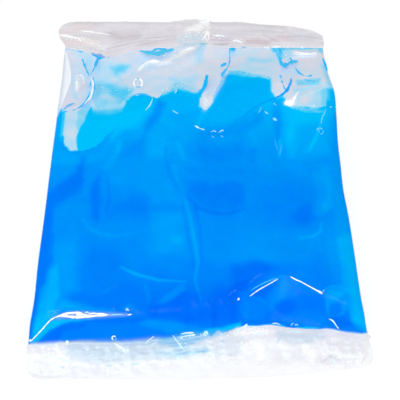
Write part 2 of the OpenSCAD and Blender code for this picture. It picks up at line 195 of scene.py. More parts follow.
# Panes of deeper or paler gel: depth in millimetres, softness in pixels, outline
GEL_PANES = [
    # far end
    (7.6, 7, [(122, 100), (152, 96), (148, 112), (138, 126), (120, 130), (112, 140)]),
    (8.6, 5, [(80, 118), (92, 106), (120, 112), (106, 134), (88, 146)]),
    (11.4, 3.5, [(118, 136), (128, 130), (120, 152), (111, 168), (105, 168)]),
    (14.0, 6, [(126, 144), (146, 138), (144, 155), (128, 160), (122, 156)]),
    (13.6, 3.5, [(159, 100), (166, 103), (160, 118), (150, 130), (140, 142), (146, 124)]),
    (11.2, 7, [(148, 134), (158, 124), (167, 128), (164, 160), (148, 160)]),
    (9.4, 5, [(167, 94), (196, 96), (196, 106), (186, 112), (172, 104)]),
    (11.0, 6, [(166, 112), (196, 112), (192, 124), (168, 124)]),
    (9.8, 4, [(206, 114), (214, 106), (226, 84), (270, 84), (268, 100), (240, 116), (212, 124)]),
    (13.2, 6, [(196, 130), (216, 133), (240, 126), (262, 112), (262, 122), (240, 136), (200, 138)]),
    (8.0, 6, [(286, 110), (328, 110), (326, 124), (302, 130), (292, 156), (285, 140)]),
    (10.4, 6, [(296, 128), (304, 128), (296, 154), (288, 156)]),
    (10.6, 9, [(300, 126), (328, 122), (328, 150), (302, 156)]),
    # left side, from the far end to the near one
    (11.6, 4, [(54, 148), (62, 150), (76, 154), (98, 151), (112, 140), (104, 158), (84, 164), (50, 164)]),
    (16.4, 5, [(46, 194), (58, 185), (77, 172), (83, 158), (85, 180), (79, 192), (64, 200), (54, 212), (50, 224), (42, 224)]),
    (13.7, 3, [(84, 164), (90, 164), (90, 196), (84, 196)]),
    (16.4, 4.5, [(92, 184), (99, 176), (101, 200), (98, 222), (92, 218), (90, 200)]),
    (14.0, 8, [(56, 208), (74, 202), (88, 206), (86, 226), (80, 250), (54, 250)]),
    (12.8, 8, [(55, 244), (76, 240), (78, 290), (48, 300), (52, 268)]),
    (11.6, 6, [(60, 298), (92, 308), (112, 311), (60, 312), (48, 322), (36, 334)]),
    (16.8, 1.8, [(42, 216), (54, 214), (54, 238), (52, 262), (44, 277), (38, 304), (34, 316), (31, 334), (22, 338), (30, 290)]),
    (10.4, 3, [(50, 270), (58, 264), (60, 296), (52, 312), (40, 318), (42, 292)]),
    (9.9, 3, [(46, 290), (52, 300), (55, 312), (48, 322), (40, 332), (32, 336), (35, 318), (41, 302)]),
    # left middle
    (12.9, 9, [(112, 166), (136, 158), (162, 160), (164, 184), (126, 188), (108, 180)]),
    (12.7, 6, [(140, 182), (170, 180), (182, 204), (150, 204)]),
    (15.0, 8, [(114, 204), (132, 198), (148, 200), (146, 214), (120, 218), (104, 222), (104, 208)]),
    (12.5, 8, [(152, 212), (182, 212), (185, 254), (150, 254)]),
    (11.0, 3, [(171, 236), (183, 236), (183, 243), (171, 244)]),
    (14.6, 6, [(80, 230), (112, 238), (140, 238), (140, 250), (104, 252), (80, 250)]),
    (15.4, 9, [(88, 246), (108, 246), (126, 250), (128, 262), (118, 284), (90, 294), (84, 268)]),
    (16.2, 7, [(104, 288), (128, 280), (148, 290), (142, 304), (112, 304)]),
    # middle: the bag-shaped dent with the seam below it
    (14.6, 11, [(196, 142), (220, 146), (244, 140), (249, 156), (236, 165), (206, 166), (192, 154)]),
    (14.3, 4, [(186, 167), (256, 166), (256, 176), (190, 177)]),
    (15.5, 7, [(186, 180), (210, 182), (238, 182), (247, 190), (243, 204), (232, 212), (212, 212), (200, 205), (190, 192)]),
    (13.9, 3, [(247, 150), (256, 148), (256, 196), (248, 206), (245, 190)]),
    (13.6, 9, [(204, 236), (318, 238), (310, 258), (204, 260)]),
    # right
    (15.0, 12, [(268, 188), (290, 184), (314, 190), (316, 218), (290, 228), (266, 220)]),
    (16.4, 7, [(293, 216), (299, 209), (308, 209), (313, 217), (307, 225), (297, 224)]),
    (12.3, 3, [(320, 163), (328, 166), (334, 190), (332, 208), (324, 213), (321, 209), (327, 196), (325, 182)]),
    (12.4, 5, [(333, 190), (344, 196), (350, 236), (338, 250)]),
    (10.2, 5, [(338, 238), (356, 230), (366, 290), (370, 334), (352, 322), (346, 292)]),
    (12.8, 3, [(333, 118), (342, 108), (344, 160), (352, 228), (346, 228), (338, 196), (333, 150)]),
    # near shoulder and front face
    (17.6, 6, [(232, 266), (262, 262), (274, 268), (264, 278), (246, 290), (232, 288)]),
    (18.6, 7, [(188, 290), (206, 300), (220, 286), (236, 288), (240, 298), (236, 322), (182, 320), (184, 302)]),
    (19.2, 3, [(236, 282), (248, 280), (246, 290), (238, 292), (234, 299), (226, 298)]),
    (18.6, 3, [(150, 306), (164, 304), (184, 292), (196, 294), (198, 320), (184, 319), (150, 318), (147, 311)]),
    (14.4, 2, [(156, 304), (164, 296), (182, 284), (186, 289), (166, 302)]),
    (18.0, 3, [(244, 300), (250, 295), (276, 283), (270, 292), (262, 298)]),
    (15.6, 2.5, [(242, 300), (260, 297), (268, 304), (264, 318), (246, 320), (240, 308)]),
    (15.2, 4, [(266, 298), (280, 284), (298, 297), (284, 302), (276, 312), (268, 310)]),
    (14.2, 3, [(283, 279), (290, 283), (284, 299), (274, 300)]),
    (18.6, 3.5, [(276, 305), (289, 298), (301, 304), (292, 313), (276, 314)]),
    (17.2, 5, [(296, 290), (322, 297), (324, 310), (298, 308)]),
    (15.6, 3, [(280, 322), (290, 314), (304, 311), (325, 314), (326, 326), (286, 324)]),
    (13.8, 1.6, [(325, 291), (330, 286), (344, 288), (350, 300), (344, 315), (331, 318), (327, 312)]),
    (12.0, 1.6, [(329, 289.5), (346, 292), (340, 298), (331, 300)]),
    (16.6, 3, [(330, 304), (340, 302), (342, 312), (334, 319), (328, 316)]),
    (18.8, 3, [(178, 304), (192, 302), (196, 316), (186, 321), (178, 318)]),
    (18.2, 1.5, [(331, 319), (343, 316.5), (350, 322), (353, 326), (340, 328)]),
    (16.2, 4, [(60, 328), (120, 325), (122, 341), (58, 343)]),
    (18.3, 2.5, [(40, 342), (52, 331), (62, 325), (87, 323.5), (84, 327), (62, 332), (58, 343)]),
    (18.3, 2, [(84, 321), (110, 319.5), (148, 317), (148, 322), (120, 323)]),
    (7.5, 1.2, [(250, 326), (262, 325), (284, 325), (286, 328), (262, 328), (250, 329)]),
    (7.5, 2.5, [(176, 337), (186, 331), (206, 330), (226, 327), (240, 323), (242, 328), (206, 336), (178, 341)]),
    (9.0, 1.2, [(296, 327), (312, 326.5), (318, 327), (318, 331), (300, 330)]),
    (14.2, 3, [(140, 324), (146, 319), (160, 320), (190, 325), (206, 328), (202, 333), (172, 334)]),
    (9.6, 1.8, [(29, 344), (36, 334), (53, 319.5), (92, 319), (62, 323.5), (48, 331), (36, 343)]),
]
# Narrow marks in the gel: change of depth in millimetres, softness in pixels, then places and
# widths in the picture. Four paler marks are painted highlights: lines that shine, painted as shallower gel
GEL_MARKS = [
    (1.2, 2, [(107, 178, 2), (110, 196, 2.5), (106, 212, 2)]),
    (-1.2, 2, [(84, 220, 2), (90, 229, 3), (102, 235, 3), (118, 236, 2.5), (130, 235, 1)]),
    (1.5, 1.6, [(186, 194, 2), (197, 207, 2.6), (211, 213, 2.6), (230, 214, 2), (246, 208, 1)]),
    (1.3, 1.8, [(167, 140, 1.5), (165, 158, 2), (170, 176, 2), (180, 190, 2), (188, 200, 2)]),
    (-1.3, 2.5, [(174, 166, 4), (178, 184, 4), (186, 198, 4)]),
    (-1.6, 3, [(178, 144, 4), (184, 158, 5)]),
    (-2.8, 2, [(186, 202, 2), (190, 217, 3), (195, 243, 3.4), (198, 262, 3), (195, 280, 2), (203, 306, 1.5)]),
    (1.3, 1.5, [(182, 206, 1.5), (186, 226, 1.5), (191, 250, 1.5), (194, 268, 1.5)]),
    (1.4, 1.6, [(195, 206, 3), (200, 228, 2.5), (202, 262, 1.5)]),
    # Painted highlight: the faint light streak over the near shoulder, painted as paler gel
    (-4.0, 1.3, [(121, 267, 1.5), (134, 273.5, 3), (158, 280, 2.2), (186, 281.5, 1)]),
    (-1.6, 1.5, [(108, 291, 2), (100, 292, 1), (116, 286, 1)]),
    (-2.0, 2, [(122, 309, 3), (130, 306, 5), (136, 311, 3)]),
    (-2.0, 1.5, [(300, 238, 2), (314, 236, 3), (321, 231, 3), (321, 222, 2)]),
    (-2.6, 1.2, [(325, 289, 1), (331, 285.5, 1.5), (341, 286.5, 1.5), (347, 291, 1)]),
    (-1.6, 1.2, [(325, 290, 1), (326.5, 303, 1.4), (329, 317, 1)]),
    # Painted highlight: the line along the left leg of the tent-shaped fold, painted as paler gel
    (-2.4, 1.2, [(250, 290, 1), (260, 284.5, 1.4), (272, 279, 1.4), (284, 275.5, 1.8)]),
    (-1.8, 1.2, [(240, 300, 1), (246, 297, 1.6), (258, 297, 1.6), (266, 303, 1.2)]),
    (-1.8, 1.2, [(243, 312, 1.2), (246, 318, 1.2)]),
    (-2.0, 1.4, [(226, 309, 1), (228, 316, 1.6)]),
    (-1.5, 1.6, [(145, 286, 2), (149, 298, 3), (147, 303, 1)]),
    # Painted highlight: a bright streak along a fold, painted as paler gel
    (-2.0, 3, [(214, 96, 4), (206, 110, 5), (198, 124, 2.5)]),
    (-2.0, 1.6, [(318, 133, 1.5), (313, 142, 3), (308, 152, 1)]),
    (2.2, 2.5, [(276, 104, 8), (277, 118, 9), (278, 132, 5), (278, 140, 1.5)]),
    # Painted highlight: light lines in the dark streak on the right, painted as paler gel
    (-2.4, 2, [(280, 140, 3), (281, 148, 6), (279, 156, 3)]),
    (-2.2, 2, [(325, 110, 2), (321, 122, 3), (317, 136, 3), (311, 148, 2)]),
    (-1.2, 5, [(318, 176, 10), (322, 196, 12), (318, 212, 8)]),
    (-1.2, 6, [(334, 246, 14), (338, 266, 16), (342, 290, 8)]),
    (0.8, 5, [(256, 266, 10), (292, 270, 12)]),
    (1.3, 3, [(208, 132, 3), (230, 127, 4), (256, 112, 3)]),
    (-1.2, 2, [(166, 143, 3), (168, 146, 2)]),
    (-1.4, 2, [(120, 142, 2), (118, 152, 3)]),
]

# Gel that clings under the film: depth of its colour, then places and widths in the picture
STREAKS = [
    (10, [(63, 110.5, 0.8), (66, 107, 1.4), (70, 104.6, 1.8), (75, 103, 0.8)]),
    (10, [(64, 111.5, 1.6), (69.5, 111.8, 1.2), (76, 109.4, 1)]),
    (9.5, [(77, 108.8, 0.8), (82, 105.5, 2.4), (86, 101.5, 3.2), (89, 95, 1.6), (89, 91, 0.6)]),
    (9, [(93.5, 94, 0.6), (94.5, 86, 1.6), (93, 80, 1.8), (93.5, 77, 0.6)]),
    (8, [(92.5, 100, 0.6), (93, 95, 1.2), (92.4, 91, 0.6)]),
    (9, [(89.5, 87, 0.6), (90.5, 84, 1.5), (90, 81, 0.6)]),
    (9, [(82, 59, 1.8), (84.5, 65, 1.8), (87, 71, 1.6), (89.5, 76.5, 0.8)]),
    (9, [(98, 58, 3), (96.5, 62, 2.6), (94.5, 67.5, 2), (92, 72, 1), (90, 75.5, 0.6)]),
    (10, [(91, 52.5, 1.5), (94, 54.5, 4.5), (99, 56, 5.5), (103, 57, 3), (105.5, 57.2, 0.8)]),
    (10, [(107.4, 57, 0.6), (108.6, 57.3, 1.4), (109.6, 57.3, 0.6)]),
    (3.4, [(139, 50.5, 0.8), (147, 52.5, 3), (156, 53.5, 4), (163, 52, 3.6), (170, 50.5, 2.4), (174, 49, 0.8)]),
    (8.5, [(139, 50.5, 0.8), (147, 52.2, 1.8), (153, 51, 1.6), (156, 49, 1.4), (163, 49, 1.6), (168, 50, 2), (173.5, 48.6, 1)]),
    (7, [(149, 52.6, 1), (156, 55, 1.2), (161, 55.5, 0.6)]),
    (4, [(77, 50.5, 0.6), (80, 51.5, 1.4), (83, 52, 0.5)]),
    (9, [(206.5, 74.5, 2.4), (206.4, 82, 3), (203.5, 88, 3), (199, 93, 3), (195, 97, 2)]),
    (9, [(220.4, 66.6, 2), (223, 65, 3), (226.6, 63.2, 2)]),
    (9, [(221.8, 77.6, 2), (223, 73.5, 3), (226, 69.5, 1.6), (229.5, 65, 1)]),
    (4, [(229.6, 48, 1), (229.8, 56, 1.2), (229, 64, 1.4), (224, 76, 1), (219, 86, 1.4), (213, 97, 0.8)]),
    (8.5, [(230, 47.8, 1), (232.5, 49.4, 3.4), (236, 48.4, 1.5)]),
    (8.5, [(241, 47, 0.6), (244, 47.4, 1.4), (246.5, 47.6, 0.6)]),
    (8.5, [(278.5, 48, 1), (280, 50, 2.4), (280, 53, 1)]),
    (9, [(279.6, 57, 1.4), (280.5, 61, 3), (282.5, 65, 4.5), (286, 65, 4), (290, 63, 1)]),
    (8.5, [(288, 63, 1), (293, 61.6, 3.4), (298.6, 61, 0.8)]),
    (9.5, [(289.8, 57.2, 0.8), (291.4, 60, 1.6), (292.4, 64.5, 1)]),
    (9.5, [(294.4, 66, 0.7), (297, 70.5, 1.4), (300, 73.5, 1.6), (304, 75.8, 1.4), (308, 76.4, 1.6), (312.5, 75.3, 2.2)]),
    (9, [(279.6, 74.6, 1), (280.6, 76.6, 1.6), (281, 78.6, 0.8)]),
    (9, [(281.2, 79.6, 0.8), (282, 81.6, 1.6), (282.4, 83.4, 0.8)]),
    (9, [(283, 84, 0.8), (284, 87, 1.4), (285, 90, 0.8)]),
    (11.5, [
        (203, 128, 0.8), (213, 128.8, 2.2), (224, 127, 2), (238, 120.5, 1.8), (251, 110.5, 2.4),
        (261, 104, 2), (276, 98, 2.2), (284, 93, 2.4), (288.5, 88, 2.8), (290.8, 82, 2.4), (291, 78, 1),
    ]),
    (14, [
        (62.4, 136, 0.5), (65, 145.6, 0.8), (71, 150.6, 1), (82, 151.6, 1.2),
        (97, 146, 1.1), (106, 136.6, 1), (115, 128, 0.8), (120, 121, 0.5),
    ]),
    (9, [(134, 95, 0.6), (139, 93.8, 1.4), (146, 94.6, 1.4), (151, 96.6, 0.6)]),
    (9.5, [(322.4, 58, 0.8), (324.4, 62, 1.6), (326.2, 67, 1.8), (327.4, 71, 0.8)]),
    (6, [(297, 83.5, 0.6), (303, 84.6, 1.2), (309, 86.4, 0.6)]),
    (6, [(298, 80, 0.6), (303, 79.4, 1.2), (312, 81.6, 1.4), (318, 81, 0.6)]),
    # drops on the welds
    (10, [(60.5, 366.6, 0.6), (62.6, 367.2, 1.6), (64.5, 367, 0.6)]),
    (8, [(74.5, 366.6, 0.6), (75.4, 366.8, 1.2), (76.4, 366.6, 0.6)]),
    (8, [(97.5, 364.4, 0.6), (98.6, 364.6, 1.2), (99.8, 364.6, 0.6)]),
    (10, [(105, 365, 0.6), (109, 365.8, 2.2), (113, 366, 0.6)]),
    (8, [(119, 364.8, 0.6), (121, 364.8, 1.2), (124, 364.6, 0.6)]),
    (7, [(130, 364.4, 0.6), (135, 364, 1), (140.5, 363.4, 0.6)]),
    (10, [(221, 340.6, 0.6), (222.4, 341.2, 1.8), (224, 341.4, 0.6)]),
    (5, [(276.5, 343.4, 0.6), (278.4, 340.4, 2.2), (280.6, 337.8, 0.8)]),
    (3, [(201, 351.6, 0.6), (204, 352, 1.6), (208, 351, 0.6)]),
    (9, [(66, 45.4, 0.6), (66.7, 46, 1), (67, 46.6, 0.5)]),
]

# Painted highlights where the film's creases and specks shine: whiteness, then places and widths in the picture
PAINTED_GLINTS = [
    (1.0, [(30, 342, 0.7), (41, 330.6, 1), (50, 320.6, 1.2), (55, 317.4, 1.4)]),
    (0.8, [(28.6, 341.6, 0.6), (30.6, 340, 1.6), (33, 340.6, 0.6)]),
    (1.0, [(54, 317.6, 0.8), (61, 315.8, 1.8), (69, 316.6, 2.2), (78, 317.2, 2.8), (86, 316.6, 2.4), (94, 315.8, 2.2), (102, 315.2, 2), (109.5, 314.8, 0.6)]),
    (1.0, [(58, 316, 0.8), (66, 313.6, 1.8), (73, 312.8, 2), (79, 312.8, 2), (83, 313.6, 1)]),
    (1.0, [(76, 315, 1), (82, 314.6, 2), (88, 315.2, 1)]),
    (1.0, [(88, 314, 0.8), (93, 313.2, 1.4), (97, 313.6, 1.2), (102, 314, 1.8), (108, 314.8, 0.8)]),
    (0.9, [(85, 312.6, 0.6), (87.4, 312, 1), (89, 312.8, 0.6)]),
    (0.5, [(110, 315, 0.6), (117, 314.4, 1), (124, 314.6, 0.6)]),
    (0.8, [(127, 315, 0.6), (129.6, 314.6, 1.4), (132, 314.4, 0.6)]),
    (0.9, [(249.6, 296.4, 0.6), (257, 291, 1.3), (264, 286.8, 1.1), (272, 282.4, 0.9), (278.4, 278.6, 0.6)]),
    (0.1, [(251, 290.6, 0.4), (257, 286.6, 0.6), (267, 281.6, 0.6), (277, 278, 0.4)]),
    (1.0, [(290, 276.4, 0.6), (296.6, 280, 1.3), (299.4, 281, 1), (308, 285.6, 1.1), (316, 290, 1.4), (320, 292, 2), (322.6, 294, 0.8)]),
    (0.5, [(322.4, 293, 0.5), (324.4, 289.4, 0.7)]),
    (0.8, [(328.6, 318.6, 0.5), (333, 321, 1.4), (336, 325.4, 0.9), (339, 329, 0.5)]),
    (0.6, [(145, 110.4, 0.6), (149, 106.4, 1), (151.6, 101.6, 1), (152.6, 98, 0.5)]),
    (0.5, [(172.4, 110, 0.6), (175, 112, 1), (178.6, 113.6, 0.6)]),
    (0.7, [(194.5, 125.4, 0.8), (197, 126.8, 1.5), (200, 128.4, 0.8), (205, 129.8, 0.8)]),
    (0.6, [(210.6, 132.4, 0.6), (213, 130.8, 1), (216.8, 131.8, 0.6)]),
    (0.6, [(218.6, 133, 0.6), (221, 130.8, 1.1), (224, 130.2, 0.6)]),
    (0.4, [(211.4, 135.4, 0.5), (213, 137, 0.8), (214.4, 137.6, 0.4)]),
    (0.4, [(220.4, 135, 0.5), (222.4, 136.8, 0.8), (223.4, 136.4, 0.4)]),
    (1.0, [(284.4, 102, 3), (287.6, 103, 6.5), (291.4, 102.6, 6), (294, 99, 3), (297, 93.6, 1.4), (299, 90.6, 0.6)]),
    (0.6, [(296, 98.6, 0.4), (305, 95.5, 0.7), (319, 90, 0.7), (330, 85.5, 0.5)]),
    (0.5, [(297, 92, 0.4), (309, 87, 0.6), (320, 82.6, 0.6), (331, 87, 0.5)]),
    (0.7, [(312.4, 105.4, 0.6), (314, 105.6, 1.4), (315.6, 106, 0.6)]),
    (0.4, [(272.6, 118, 0.6), (274.6, 119, 3), (277, 120.6, 0.8)]),
    (0.3, [(264, 111, 0.6), (266.4, 112.6, 1.6), (268.4, 114, 0.6)]),
    (0.3, [(261.6, 107, 0.6), (259.6, 111, 1), (258.6, 113, 0.5)]),
    (0.3, [(273.4, 102.6, 0.6), (275, 104.4, 1.4), (276.4, 105.6, 0.6)]),
    (0.0, [(274.6, 139, 0.5), (276, 145, 0.9), (277.6, 150, 0.4)]),
    (0.0, [(282, 144, 0.5), (280.6, 150, 0.8), (279.6, 155, 0.5)]),
    (0.3, [(326, 108.6, 0.5), (324.6, 113, 0.9), (322, 118, 1), (321, 124, 0.5)]),
    (0.4, [(329.6, 106.6, 0.6), (331, 107, 1.2), (332, 107.4, 0.5)]),
    (0.9, [(76, 80, 1), (77, 84, 2), (76.6, 90, 1)]),
    (0.8, [(77, 76.6, 0.6), (80, 74.8, 1), (83, 77, 1.4), (83.6, 84, 0.8)]),
    (1.0, [(91, 77.6, 0.6), (93, 82, 1.4), (93, 88, 1.6), (91, 96, 1.4), (87, 101, 1), (84, 104.6, 0.6)]),
    (0.9, [(56.6, 344, 0.6), (58.6, 349, 1.4), (62, 354, 2), (66, 358, 1.4), (69, 361.6, 0.8)]),
    (0.8, [(58, 357, 0.6), (62, 359.4, 2.6), (69, 362, 1.4)]),
    (0.9, [(66, 340.4, 1.2), (67.4, 342, 2.6), (67.6, 344, 1)]),
    (0.9, [(113.5, 343, 0.6), (117, 345, 1.4), (121, 347.6, 2), (124.6, 349.6, 1.2), (127.4, 351, 0.6)]),
    (0.8, [(145, 344, 0.5), (149, 340, 0.9), (154.4, 336, 0.5)]),
    (0.7, [(151, 345.6, 0.5), (154, 343, 0.9), (158, 342.6, 0.5)]),
    (0.8, [(172.6, 335, 0.5), (177, 341, 1), (180, 345, 1.2), (185, 351, 0.5)]),
    (0.7, [(184, 342, 0.5), (187, 345, 0.8)]),
    (0.8, [(181, 334, 0.6), (187, 333, 1.4), (194, 332.6, 1)]),
    (0.8, [(180, 337, 0.6), (188, 335.6, 1.4), (196, 334.6, 0.8)]),
    (0.7, [(203, 336, 1), (206, 332, 2.4), (208, 335, 1)]),
    (0.8, [(237, 329.6, 0.6), (242, 327.6, 1.6), (246, 325.6, 2), (247, 323.6, 0.6)]),
    (0.8, [(246, 326, 0.6), (258, 326.6, 1), (268, 325.6, 0.6)]),
    (0.8, [(252, 335, 0.6), (258, 333.6, 1.2), (262, 334.4, 0.6)]),
    (0.8, [(272, 323.6, 0.6), (276, 323.2, 1), (281, 325, 0.6)]),
    (0.7, [(290, 330.6, 0.6), (297, 331.6, 1.2), (303, 332.4, 0.6)]),
    (0.9, [(341, 355.4, 0.6), (348, 356.8, 1.2), (356, 357, 1), (365, 356.4, 0.5)]),
    (0.8, [(331.4, 365.6, 0.6), (333.5, 362, 1.2), (335, 358, 0.6)]),
    (0.9, [(349, 352, 0.5), (350.6, 356, 0.9)]),
    (1.0, [(237.6, 300.4, 1), (238.6, 299, 2.2), (239.6, 298.4, 1)]),
    (0.8, [(127, 309, 0.6), (128, 310, 1.4), (129, 310.8, 0.6)]),
    (1.0, [(294, 51.6, 0.6), (302, 53.2, 1.2), (310, 53.8, 1.4), (317, 52.6, 0.8)]),
    (0.9, [(292, 53.6, 0.6), (302, 54.6, 0.8), (314, 54.8, 0.5)]),
    (1.0, [(80.4, 30.6, 0.5), (90, 31.6, 0.8), (102, 33.4, 0.7), (111, 35, 0.5)]),
    (1.0, [(59.6, 35, 0.6), (66, 35.4, 1.8), (72, 37, 1), (77, 38.6, 0.8)]),
    (1.0, [(77.6, 36.6, 0.6), (79.4, 39, 1.8), (81.6, 42, 0.6)]),
    (0.9, [(137.6, 70.4, 0.6), (141.6, 67, 1.4), (146, 62.6, 1.6), (151, 60.6, 1)]),
    (1.0, [(149, 61.6, 1), (154, 60.8, 2.6), (161, 61.6, 0.8)]),
    (0.9, [(163, 56.6, 0.5), (165.6, 54, 1), (167.4, 53, 0.5)]),
    (1.0, [(179, 53, 0.6), (185, 50, 1.6), (190, 48, 2), (195, 48, 0.8)]),
    (0.8, [(206, 98, 0.5), (206.4, 102, 1), (205.4, 106.4, 0.5)]),
    (1.0, [(205, 30, 0.6), (206.6, 33, 1.8), (204.6, 37, 1.2), (202, 39.4, 0.6)]),
    (1.0, [(207, 28, 0.6), (208.6, 33, 1.2), (209, 40, 0.6)]),
    (0.9, [(200, 22.6, 0.6), (205, 20.4, 2), (209.6, 22.4, 0.8)]),
    (0.9, [(213, 35.6, 0.6), (219, 35.4, 1.6), (225, 36.2, 0.8)]),
    (0.9, [(233, 40.6, 0.6), (238, 40.4, 1.4), (242, 43, 1)]),
    (1.0, [(264, 47.2, 0.6), (267, 47, 1.2), (270, 47.6, 0.6)]),
    (1.0, [(271, 47, 0.6), (276, 46.8, 1.2), (281, 46.6, 0.6)]),
    (0.9, [(300, 46.4, 0.6), (302.6, 47.6, 1.6), (305, 46.6, 0.6)]),
    (0.9, [(130, 89, 0.5), (128, 91, 0.8)]),
    (0.8, [(163.4, 89, 0.5), (162.4, 91.6, 0.9)]),
    (0.8, [(174.4, 93, 0.6), (176, 91.6, 1), (176.6, 89.6, 0.4)]),
]
# Painted highlights, soft white sheen on the film: strength, softness in pixels, then places and widths
PAINTED_SHEENS = [
    (0.75, 2.5, [(138, 71, 2), (143, 66, 3), (150, 62, 4), (160, 63, 5), (170, 62, 3)]),
    (0.8, 2.5, [(166, 60, 2), (180, 55, 5), (192, 49, 5), (198, 46, 3)]),
    (0.35, 5, [(150, 72, 10), (176, 68, 14), (192, 62, 10)]),
    (0.5, 2.5, [(228, 70, 2), (222, 84, 3), (213, 98, 3), (207, 106, 2)]),
    (0.45, 3.0, [(204, 94, 3), (206, 102, 5), (204, 110, 3)]),
    (0.5, 2.0, [(76, 76, 3), (78, 84, 7), (77, 90, 3)]),
    (0.5, 2.5, [(55, 317.5, 3), (70, 315, 7), (86, 315, 7), (104, 315, 5), (126, 314.6, 2)]),
    (0.5, 1.6, [(285, 103, 5), (292, 102, 6), (299, 91, 1)]),
    (0.8, 1.6, [(292, 53, 2), (303, 53.6, 3), (317, 53.4, 2)]),
    (0.8, 3.0, [(188, 30, 4), (198, 28, 8), (204, 24, 6)]),
    (0.6, 2.0, [(200, 20, 3), (206, 20, 3), (208, 26, 3)]),
    (0.7, 1.5, [(57, 35.4, 2), (66, 35.6, 3), (76, 38, 2)]),
    (0.4, 2.0, [(82, 38, 3), (88, 42, 5), (98, 44, 4), (104, 48, 4)]),
    (0.4, 3.0, [(120, 100, 2), (104, 96, 5)]),
    (0.7, 2.5, [(252, 343, 4), (259, 346, 9), (262, 354, 6), (258, 362, 3)]),
    (0.6, 3.0, [(236, 334, 4), (250, 331, 8), (266, 332, 6)]),
    (0.5, 3.0, [(306, 350, 6), (312, 354, 10), (312, 362, 5)]),
    (0.5, 2.0, [(56, 344, 2), (60, 354, 6), (68, 361, 4)]),
    (0.4, 1.5, [(322, 348, 3), (342, 355.4, 4), (364, 356, 2)]),
]
# Tints of the film on a white ground: screen colour, strength, softness in pixels, then
# places and widths
TINTS = [
    # near flange
    ((206, 224, 236), 0.9, 5, [(74, 350, 16), (100, 351, 20), (130, 350, 18), (156, 346, 16)]),
    ((198, 216, 234), 0.7, 3, [(126, 344, 6), (150, 342, 6), (164, 342, 8)]),
    ((150, 208, 240), 0.8, 3, [(162, 341, 8), (180, 342, 14), (206, 336, 8), (226, 332, 3)]),
    ((186, 226, 244), 0.8, 4, [(158, 354, 8), (180, 354, 10), (206, 349, 8)]),
    ((224, 233, 240), 0.7, 4, [(216, 344, 12), (240, 340, 12)]),
    ((212, 224, 236), 0.9, 3, [(279, 334, 8), (292, 338, 12), (310, 338, 12), (322, 336, 8)]),
    ((233, 231, 238), 0.8, 5, [(330, 344, 18), (350, 346, 20), (362, 348, 10)]),
    ((240, 240, 246), 0.8, 5, [(276, 356, 12), (300, 356, 12), (330, 362, 8)]),
    ((240, 240, 244), 0.8, 4, [(320, 358, 10), (350, 360, 12)]),
    ((232, 226, 226), 0.7, 1.4, [(366.5, 338, 1.6), (368, 346, 2), (366, 356, 2), (361, 363, 1.6)]),
    ((243, 239, 244), 0.8, 4, [(34, 350, 10), (50, 350, 12)]),
    ((224, 234, 243), 0.8, 2.5, [(32, 345, 3), (46, 344, 4), (60, 343, 4)]),
    ((242, 243, 248), 0.7, 4, [(74, 370, 8), (110, 370, 10), (150, 368, 6)]),
    ((214, 228, 240), 0.8, 3, [(84, 358, 8), (110, 359, 8), (136, 357, 8), (160, 356, 6)]),
    ((226, 238, 247), 0.7, 3, [(214, 352, 10), (236, 350, 10), (228, 344, 6)]),
    # far flange
    ((240, 226, 224), 0.6, 4, [(64, 32, 6), (80, 27, 8), (92, 27, 6)]),
    ((243, 224, 222), 0.6, 3, [(66, 42, 4), (80, 42, 6), (96, 42, 6)]),
    ((212, 206, 212), 0.7, 3.5, [(112, 34, 6), (122, 38, 8), (138, 36, 6)]),
    ((222, 208, 212), 0.5, 3, [(140, 44, 3), (160, 42.6, 3), (176, 40, 3)]),
    ((208, 207, 208), 0.6, 2, [(74, 23, 2), (110, 22.6, 2), (150, 23.4, 2), (184, 23, 2)]),
    ((206, 206, 207), 0.6, 2, [(212, 23.4, 2), (240, 24, 2), (262, 25.6, 2.4), (286, 28, 2.4)]),
    ((206, 226, 238), 0.8, 3.5, [(180, 40, 6), (190, 36, 8), (200, 38, 8)]),
    ((190, 222, 236), 0.7, 2.5, [(182, 44, 3), (196, 44, 4), (204, 44, 3)]),
    ((214, 202, 216), 0.7, 2.5, [(212, 38, 6), (222, 39, 7), (230, 40, 4)]),
    ((214, 196, 202), 0.7, 2.5, [(246, 42, 4), (256, 41, 6), (268, 43, 4)]),
    ((226, 204, 212), 0.6, 2.5, [(272, 40, 4), (282, 37, 5), (292, 40, 3)]),
    ((222, 224, 232), 0.6, 4, [(296, 36, 8), (312, 38, 8)]),
]
